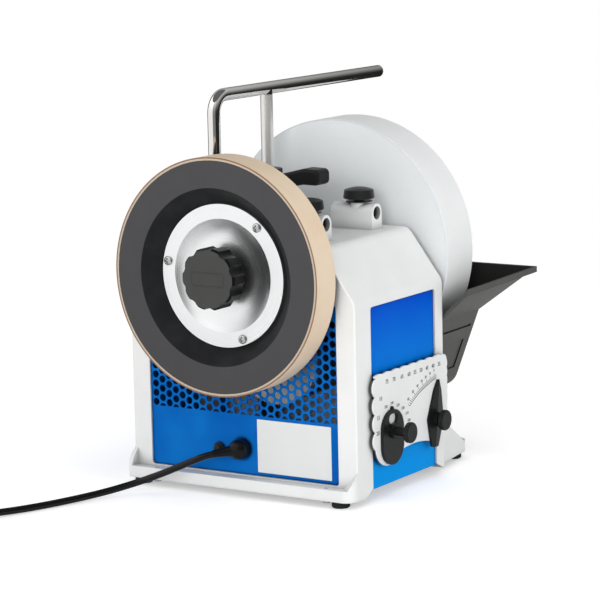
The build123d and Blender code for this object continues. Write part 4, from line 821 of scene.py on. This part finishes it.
def makeCord(s):
    coil = coilPoints(s)
    last = coil[-1] - coil[-2]
    plugEnd, plugWay = np.array(s["plugEnd"]), np.array(s["plugWay"])
    tailStart = coil[-1] + last / np.linalg.norm(last) * s["tailRun"]
    points = np.concatenate([s["route"], coil, [tailStart, plugEnd - plugWay * s["plugRun"], plugEnd]])
    curve = bpy.data.curves.new("mainsCord", "CURVE")
    curve.dimensions = "3D"
    curve.bevel_depth = s["radius"]
    curve.bevel_resolution = s["roundSteps"]
    curve.resolution_u = s["splineSteps"]
    curve.use_fill_caps = True
    spline = curve.splines.new("NURBS")
    spline.points.add(len(points) - 1)
    spline.points.foreach_set("co", np.column_stack([points, np.ones(len(points))]).ravel().tolist())
    spline.order_u = s["splineOrder"]
    spline.use_endpoint_u = True
    cord = bpy.data.objects.new("mainsCord", curve)
    scene.collection.objects.link(cord)
    curve.materials.append(cordVinyl)
    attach(cord, "base")
    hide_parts("cord", "cord_coil")


makeCord(cordSettings)
print("cord laid")


# Mesh helpers

mergeReach = 1e-7  # metres


def gridFaces(rows, columns, closeRows=False):
    # quads between neighbouring points of a grid whose columns run all the way round
    lastRow = rows if closeRows else rows - 1
    row, column = np.meshgrid(np.arange(lastRow), np.arange(columns), indexing="ij")
    below, after = (row + 1) % rows, (column + 1) % columns
    here, under = row * columns, below * columns
    return np.stack([here + column, here + after, under + after, under + column], -1).reshape(-1, 4)


def addSurface(shape, points, faces):
    # points in millimetres from the honing wheel's face
    surface = bpy.data.meshes.new("surface")
    inMetres = np.array(shaftPoint) + points.reshape(-1, 3) / 1000
    surface.from_pydata(inMetres.tolist(), [], faces.tolist())
    shape.from_mesh(surface)
    bpy.data.meshes.remove(surface)


def addPiece(name, shape, material, body, sharp=None):
    # closes seams, turns the faces outwards, and shades smooth below the sharp angle in degrees
    bmesh.ops.remove_doubles(shape, verts=shape.verts, dist=mergeReach)
    bmesh.ops.recalc_face_normals(shape, faces=shape.faces)
    mesh = bpy.data.meshes.new(name)
    shape.to_mesh(mesh)
    shape.free()
    if sharp:
        mesh.shade_smooth()
        mesh.set_sharp_from_angle(angle=math.radians(sharp))
    mesh.materials.append(material)
    piece = bpy.data.objects.new(name, mesh)
    scene.collection.objects.link(piece)
    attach(piece, body)
    return piece


# Flange screws: pan heads with a cross recess, on the flange's face

screwSettings = {
    "circle": 60.5,  # millimetres, as are the rest apart from angles and counts
    "firstAngle": 10.0,
    "count": 3,
    "face": 13.0,
    "headRadius": 4.3,
    "headHeight": 2.4,
    "rimHeight": 0.9,
    "shankRadius": 2.0,
    "shankEnd": 24.0,
    "armHalf": 0.82,
    "armEase": 0.25,
    "armReach": 2.5,
    "endEase": 0.5,
    "recessDepth": 1.5,
    "roundSteps": 96,
    "domeSteps": 40,
    "sharp": 30,
}


def makeFlangeScrews(s):
    # a quarter-ellipse dome turned about the screw's axis, less a cross whose depth
    # falls off smoothly across each arm and at its end, then rim, underside and shank
    around = np.linspace(0, 2 * np.pi, s["roundSteps"], endpoint=False)
    rise = np.linspace(0, np.pi / 2, s["domeSteps"])
    shank = s["shankRadius"]
    radius = np.concatenate([s["headRadius"] * np.sin(rise), [s["headRadius"], shank, shank, 0]])
    dome = s["rimHeight"] + (s["headHeight"] - s["rimHeight"]) * np.cos(rise)
    foot = s["face"] - s["shankEnd"]
    height = np.concatenate([dome, [0, 0, foot, foot]])
    across, up = np.outer(radius, np.cos(around)), np.outer(radius, np.sin(around))
    arm, reach = np.minimum(abs(across), abs(up)), np.maximum(abs(across), abs(up))
    inArm = np.clip((s["armHalf"] - arm) / s["armEase"], 0, 1)
    inArm *= np.clip((s["armReach"] - reach) / s["endEase"], 0, 1)
    onDome = (np.arange(len(radius)) < len(rise))[:, None]
    level = height[:, None] - s["recessDepth"] * inArm * onDome
    order = np.arange(s["count"])
    angles = np.radians(s["firstAngle"] + 360 / s["count"] * order)
    middles = np.stack([
        np.full(s["count"], s["face"]), s["circle"] * np.cos(angles), s["circle"] * np.sin(angles),
    ], -1)
    points = middles[:, None, None, :] + np.stack([-level, across, up], -1)[None]
    oneHead = gridFaces(len(radius), len(around))
    faces = (oneHead[None] + (order * across.size)[:, None, None]).reshape(-1, 4)
    shape = bmesh.new()
    addSurface(shape, points, faces)
    screws = addPiece("flangeScrews", shape, screwSteel, "spindle", s["sharp"])
    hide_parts("flange_screws")


makeFlangeScrews(screwSettings)


# Bare plaque on the honing knob's face

plaqueSettings = {
    "face": -11.5,  # millimetres, as are the next four
    "halfWidth": 17.5,
    "halfHeight": 6.2,
    "beadHalf": 0.55,
    "beadRise": 0.45,
    "corner": 9.0,  # the superellipse's power
    "outlineSteps": 160,
    "beadSteps": 16,
    "sharp": 60,
}


def makeKnobPlaque(s):
    # a superellipse outline carrying a flattened round bead, half of it sunk in the face
    along = np.linspace(0, 2 * np.pi, s["outlineSteps"], endpoint=False)
    power = 2 / s["corner"]
    outline = np.stack([
        s["halfWidth"] * np.sign(np.cos(along)) * abs(np.cos(along)) ** power,
        s["halfHeight"] * np.sign(np.sin(along)) * abs(np.sin(along)) ** power,
    ], -1)
    step = np.roll(outline, -1, 0) - np.roll(outline, 1, 0)
    outward = np.stack([step[:, 1], -step[:, 0]], -1) / np.linalg.norm(step, axis=1)[:, None]
    turn = np.linspace(0, 2 * np.pi, s["beadSteps"], endpoint=False)
    flat = outline[:, None] + s["beadHalf"] * np.cos(turn)[None, :, None] * outward[:, None]
    depth = s["face"] - s["beadRise"] * np.sin(turn)[None, :] * np.ones((len(along), 1))
    shape = bmesh.new()
    points = np.concatenate([depth[..., None], flat], -1)
    addSurface(shape, points, gridFaces(len(along), len(turn), True))
    addPiece("knobPlaque", shape, knobPlastic, "honing_knob", s["sharp"])


makeKnobPlaque(plaqueSettings)
print("wheel details made")


# Gauge print: plain numbers and the pointer's scale, a thin film on the white plate

printSettings = {
    "face": -129.6,  # millimetres, as are the rest apart from angles and counts
    "film": 0.06,
    "sink": 0.05,
    "letter": 5.4,
    "smallLetter": 3.6,
    "boldness": 0.10,
    "letterSteps": 3,
    "topNumbers": [
        ("75", 84.8), ("70", 97.4), ("65", 111.9), ("60", 124.7), ("55", 135.7),
        ("50", 146.9), ("45", 158.1), ("40", 169.4), ("35", 180.7),
    ],
    "topHeight": -99.5,
    "sideNumbers": [("10", 73.0, -113.5), ("15", 68.4, -130.5), ("20", 67.4, -144.6)],
    "dialNumbers": [
        ("250", 82.3, -122.5), ("240", 93.1, -120.8), ("230", 103.8, -124.7),
        ("220", 112.8, -129.1), ("210", 119.9, -135.2), ("200", 123.3, -142.5),
    ],
    "pivot": (171.0, -150.5),
    "scaleFrom": -5.0,  # degrees left of upright
    "scaleTo": 65.0,
    "scaleStep": 2.5,
    "numberStep": 10.0,
    "scaleMiddle": 15.0,
    "scaleRadius": 36.9,
    "scaleSpread": 0.0051,
    "shortStroke": 4.0,
    "longStroke": 6.2,
    "numberReach": 8.6,
    "lineHalf": 0.28,
    "arcSteps": 80,
}


def scaleRadius(s, angle):
    # a parabola in the angle
    return s["scaleRadius"] + s["scaleSpread"] * (angle - s["scaleMiddle"]) ** 2


def rays(angle):
    return np.stack([-np.sin(np.radians(angle)), np.cos(np.radians(angle))], -1)


def scaleAngles(s):
    angle = np.arange(s["scaleFrom"], s["scaleTo"] + s["scaleStep"] / 2, s["scaleStep"])
    return angle, np.isclose(np.mod(angle, s["numberStep"]), 0)


def addStrokes(shape, s, depth):
    # thin bars along rays from the pivot, which start on the scale's radius
    angle, isLong = scaleAngles(s)
    ray = rays(angle)
    side = np.stack([ray[:, 1], -ray[:, 0]], -1) * s["lineHalf"]
    near = scaleRadius(s, angle)
    far = near + np.where(isLong, s["longStroke"], s["shortStroke"])
    inner, outer = near[:, None] * ray, far[:, None] * ray
    flat = np.stack([inner - side, inner + side, outer + side, outer - side], 1) + np.array(s["pivot"])
    points = np.empty((len(angle), 2, 4, 3))
    points[..., 0], points[..., 2] = flat[:, None, :, 0], flat[:, None, :, 1]
    points[..., 1] = depth[None, :, None]
    bar = np.array([(0, 1, 2, 3), (7, 6, 5, 4), (0, 4, 5, 1), (1, 5, 6, 2), (2, 6, 7, 3), (3, 7, 4, 0)])
    firsts = np.arange(len(angle)) * (bar.max() + 1)
    addSurface(shape, points, (bar[None] + firsts[:, None, None]).reshape(-1, 4))


def addArc(shape, s, depth):
    # a ribbon of rectangular section along the scale's radius
    sweep = np.linspace(s["scaleFrom"], s["scaleTo"], s["arcSteps"])
    ray = rays(sweep)
    edge = scaleRadius(s, sweep)[:, None] + s["lineHalf"] * np.array([-1, -1, 1, 1])
    points = np.empty((len(sweep), 4, 3))
    points[..., 0] = s["pivot"][0] + edge * ray[:, None, 0]
    points[..., 1] = depth[[0, 1, 1, 0]]
    points[..., 2] = s["pivot"][1] + edge * ray[:, None, 1]
    caps = np.array([(0, 1, 2, 3), (4 * len(sweep) - np.array((1, 2, 3, 4)))])
    addSurface(shape, points, np.concatenate([gridFaces(len(sweep), 4), caps]))


def addNumbers(shape, s, depth):
    # flat type, stood upright on the plate
    angle, isLong = scaleAngles(s)
    marked = angle[isLong]
    spots = np.array(s["pivot"]) + (scaleRadius(s, marked) + s["numberReach"])[:, None] * rays(marked)
    scaleNumbers = [(str(int(value)), x, z) for value, (x, z) in zip(marked, spots)]
    labels = [(word, x, s["topHeight"], s["letter"]) for word, x in s["topNumbers"]]
    labels += [(word, x, z, s["letter"]) for word, x, z in s["sideNumbers"]]
    labels += [(word, x, z, s["smallLetter"]) for word, x, z in s["dialNumbers"] + scaleNumbers]
    upright = Matrix(((1, 0, 0), (0, 0, -1), (0, 1, 0))).to_4x4()
    for word, x, z, size in labels:
        text = bpy.data.curves.new("number", "FONT")
        text.body = word
        text.size = size / 1000
        text.align_x, text.align_y = "CENTER", "CENTER"
        text.extrude = (depth[0] - depth[1]) / 2 / 1000  # to both sides of the middle
        text.resolution_u = s["letterSteps"]
        text.offset = s["boldness"] / 1000
        holder = bpy.data.objects.new("number", text)
        letters = bpy.data.meshes.new_from_object(holder)
        letters.transform(Matrix.Translation(at(x, depth.mean(), z)) @ upright)
        shape.from_mesh(letters)
        bpy.data.objects.remove(holder)
        bpy.data.curves.remove(text)
        bpy.data.meshes.remove(letters)


def makeGaugePrint(s):
    # strokes, arc and numbers in one mesh, between a depth in the plate and one before it
    shape = bmesh.new()
    depth = np.array([s["face"] + s["sink"], s["face"] - s["film"]])
    for addPart in (addStrokes, addArc, addNumbers):
        addPart(shape, s, depth)
    addPiece("gaugePrint", shape, printInk, "gauge")


makeGaugePrint(printSettings)
print("gauge printed")


# Cord gland: a glossy dome on the panel and a sleeve that tapers along the cord

glandSettings = {
    "centre": (34.0, 1.6, -166.0),  # millimetres, where the dome begins to close
    "panel": 41.5,
    "domeRadius": 9.6,
    "domeRise": 8.4,
    "heading": (-0.64, 0.76, -0.12),
    "sleeveRoot": 6.4,
    "sleeveTip": 3.6,
    "sleeveLength": 24.0,
    "taperPower": 1.5,
    "roundSteps": 72,
    "domeSteps": 24,
    "sleeveSteps": 64,
    "sharp": 40,
}


def makeCordGland(s):
    # a short wall and a quarter ellipse turned about X, and a sleeve turned about the
    # cord's heading, whose taper is a power of the way left and eases into the cord
    around = np.linspace(0, 2 * np.pi, s["roundSteps"], endpoint=False)
    arc = np.linspace(0, np.pi / 2, s["domeSteps"])
    wall = s["panel"] - s["centre"][0]
    radius = np.concatenate([[0, s["domeRadius"]], s["domeRadius"] * np.cos(arc)])
    height = np.concatenate([[0, 0], wall + s["domeRise"] * np.sin(arc)])
    dome = np.stack([
        s["panel"] - height[:, None] * np.ones_like(around),
        s["centre"][1] + np.outer(radius, np.cos(around)),
        s["centre"][2] + np.outer(radius, np.sin(around)),
    ], -1)
    share = np.linspace(0, 1, s["sleeveSteps"])
    taper = s["sleeveTip"] + (s["sleeveRoot"] - s["sleeveTip"]) * (1 - share) ** s["taperPower"]
    width = np.concatenate([[0], taper, [0]])
    length = np.concatenate([[0], share, [1]]) * s["sleeveLength"]
    way = np.array(s["heading"]) / np.linalg.norm(s["heading"])
    level = np.cross(way, (0, 0, 1))
    level /= np.linalg.norm(level)
    swing = np.cos(around)[:, None] * level + np.sin(around)[:, None] * np.cross(level, way)
    sleeve = np.array(s["centre"]) + length[:, None, None] * way + width[:, None, None] * swing
    shape = bmesh.new()
    addSurface(shape, dome, gridFaces(len(radius), len(around)))
    addSurface(shape, sleeve, gridFaces(len(length), len(around)))
    gland = addPiece("cordGland", shape, glandPlastic, "base", s["sharp"])
    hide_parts("cord_gland")


makeCordGland(glandSettings)
print("gland made")


# Floor, lamps and surroundings

floorSettings = {
    "half": 6.0,  # metres, as are the fade's ends
    "colour": (0.9, 0.9, 0.9),
    "roughness": 0.8,
    "lift": 0.38,  # white added for the camera alone
    "fadeStart": 0.45,
    "fadeEnd": 1.5,
}


def makeFloor(s):
    # a pale sheet that keeps the shadow near the object and fades to plain white
    half = s["half"]
    corners = [(-half, -half, 0), (half, -half, 0), (half, half, 0), (-half, half, 0)]
    mesh = bpy.data.meshes.new("floor")
    mesh.from_pydata(corners, [], [(0, 1, 2, 3)])
    floor = bpy.data.objects.new("floor", mesh)
    scene.collection.objects.link(floor)
    material, tree, shader = newMaterial("floorSheet", s["colour"], s["roughness"], 0.0, 0.0)
    ray = addNode(tree, "ShaderNodeLightPath").outputs
    lift = maths(tree, "MULTIPLY", ray["Is Camera Ray"], s["lift"])
    glow = addNode(tree, "ShaderNodeEmission", {"Color": (1, 1, 1, 1), "Strength": lift})
    near = addNode(tree, "ShaderNodeAddShader", {0: shader.outputs[0], 1: glow.outputs[0]})
    white = addNode(tree, "ShaderNodeEmission", {"Color": (1, 1, 1, 1), "Strength": 1.0})
    fade = between(tree, vectors(tree, "LENGTH", place(tree)), s["fadeStart"], s["fadeEnd"])
    mix = addNode(tree, "ShaderNodeMixShader", {0: fade, 1: near.outputs[0], 2: white.outputs[0]})
    tree.links.new(mix.outputs[0], tree.nodes["Material Output"].inputs["Surface"])
    mesh.materials.append(material)


surroundSettings = {
    "radius": 0.72,  # metres
    "height": 1.1,
    "roundSteps": 120,
    "paleMiddle": 140.0,  # degrees round the object, as are the next four
    "paleHalf": 46.0,
    "paleEase": 6.0,
    "greyTo": 92.0,
    "greyEase": 8.0,
    "greyLevel": 0.2,
    "darkLevel": 0.02,
    "topLevel": 0.6,
    "topFrom": 0.3,  # metres
}


def makeSurround(s):
    # an upright ring of pale, grey and dark cloth round the set, which only gloss reflects
    turn = np.linspace(0, 2 * np.pi, s["roundSteps"], endpoint=False)
    across, deep = s["radius"] * np.cos(turn), s["radius"] * np.sin(turn)
    level = np.array([0, s["height"]])[:, None]
    points = np.stack(np.broadcast_arrays(across[None], deep[None], level), -1).reshape(-1, 3)
    mesh = bpy.data.meshes.new("surround")
    mesh.from_pydata(points.tolist(), [], gridFaces(2, len(turn)).tolist())
    material, tree, shader = newMaterial("surroundCloth", (0, 0, 0), 1.0, 0.0, 0.0)
    aim = math.radians(s["paleMiddle"])
    vector = place(tree)
    ahead = vectors(tree, "DOT_PRODUCT", vector, (math.cos(aim), math.sin(aim), 0))
    aside = vectors(tree, "DOT_PRODUCT", vector, (-math.sin(aim), math.cos(aim), 0))
    angle = maths(tree, "MULTIPLY", maths(tree, "ARCTAN2", aside, ahead), math.degrees(1))
    paleIn, paleOut = s["paleHalf"] - s["paleEase"], s["paleHalf"] + s["paleEase"]
    pale = between(tree, maths(tree, "ABSOLUTE", angle), paleOut, paleIn)
    greyStart = between(tree, angle, paleIn, paleOut)
    greyEnd = between(tree, angle, s["greyTo"] + s["greyEase"], s["greyTo"] - s["greyEase"])
    grey = maths(tree, "MULTIPLY", maths(tree, "MULTIPLY", greyStart, greyEnd), s["greyLevel"])
    height = axisPart(tree, vector, "Z")
    dark = between(tree, height, s["topFrom"], s["height"], s["darkLevel"], s["topLevel"])
    glow = maths(tree, "ADD", maths(tree, "ADD", pale, grey), dark)
    shader.inputs["Emission Color"].default_value = (1, 1, 1, 1)
    tree.links.new(glow, shader.inputs["Emission Strength"])
    mesh.materials.append(material)
    ring = bpy.data.objects.new("surround", mesh)
    scene.collection.objects.link(ring)
    ring.visible_camera = ring.visible_diffuse = ring.visible_shadow = ring.visible_transmission = False


worldSettings = {
    "skyHorizon": 0.86,
    "skyZenith": 0.44,
    "skyTo": 0.9,  # the rise of a ray, where one is straight up
    "ceiling": 0.14,  # what gloss sees overhead
    "ceilingFrom": 0.12,
    "ceilingTo": 0.5,
}


def makeWorld(s):
    # white to the camera and glass, a softer light, and for gloss a bright horizon under a dim ceiling
    world = bpy.data.worlds.new("studio")
    scene.world = world
    world.use_nodes = True
    tree = world.node_tree
    ray = addNode(tree, "ShaderNodeLightPath").outputs
    way = addNode(tree, "ShaderNodeTexCoord").outputs["Generated"]
    rise = axisPart(tree, way, "Z")
    overhead = between(tree, rise, s["ceilingFrom"], s["ceilingTo"], 1.0, s["ceiling"])
    sky = between(tree, rise, 0.0, s["skyTo"], s["skyHorizon"], s["skyZenith"])
    level = between(tree, ray["Is Glossy Ray"], 0.0, 1.0, sky, overhead)
    seen = maths(tree, "MAXIMUM", ray["Is Camera Ray"], ray["Is Transmission Ray"])
    background = tree.nodes["Background"]
    background.inputs["Color"].default_value = (1, 1, 1, 1)
    tree.links.new(between(tree, seen, 0.0, 1.0, level, 1.0), background.inputs["Strength"])


lampSettings = {
    "frontLamp": {"stand": (-0.5, -2.3, 0.65), "aim": (0, 0, 0.2), "size": (1.4, 1.0), "power": 13},
    "endLamp": {"stand": (-2.3, -0.55, 0.65), "aim": (0, 0, 0.2), "size": (1.2, 1.0), "power": 22},
    "highLamp": {"stand": (-0.4, -0.9, 2.2), "aim": (0, 0, 0.25), "size": (0.7, 0.7), "power": 5},
    "backLamp": {"stand": (1.6, 2.0, 0.9), "aim": (0, 0, 0.2), "size": (1.4, 1.0), "power": 12},
}


def makeLamp(name, s):
    # a soft panel that lights the object and isn't seen in its gloss
    data = bpy.data.lights.new(name, "AREA")
    data.shape = "RECTANGLE"
    data.size, data.size_y = s["size"]
    data.energy = s["power"]
    lamp = bpy.data.objects.new(name, data)
    scene.collection.objects.link(lamp)
    lamp.location = s["stand"]
    lamp.rotation_mode = "QUATERNION"
    lamp.rotation_quaternion = (Vector(s["aim"]) - Vector(s["stand"])).to_track_quat("-Z", "Y")
    lamp.visible_glossy = False


makeFloor(floorSettings)
makeSurround(surroundSettings)
makeWorld(worldSettings)
for name, settings in lampSettings.items():
    makeLamp(name, settings)
print("stage set")
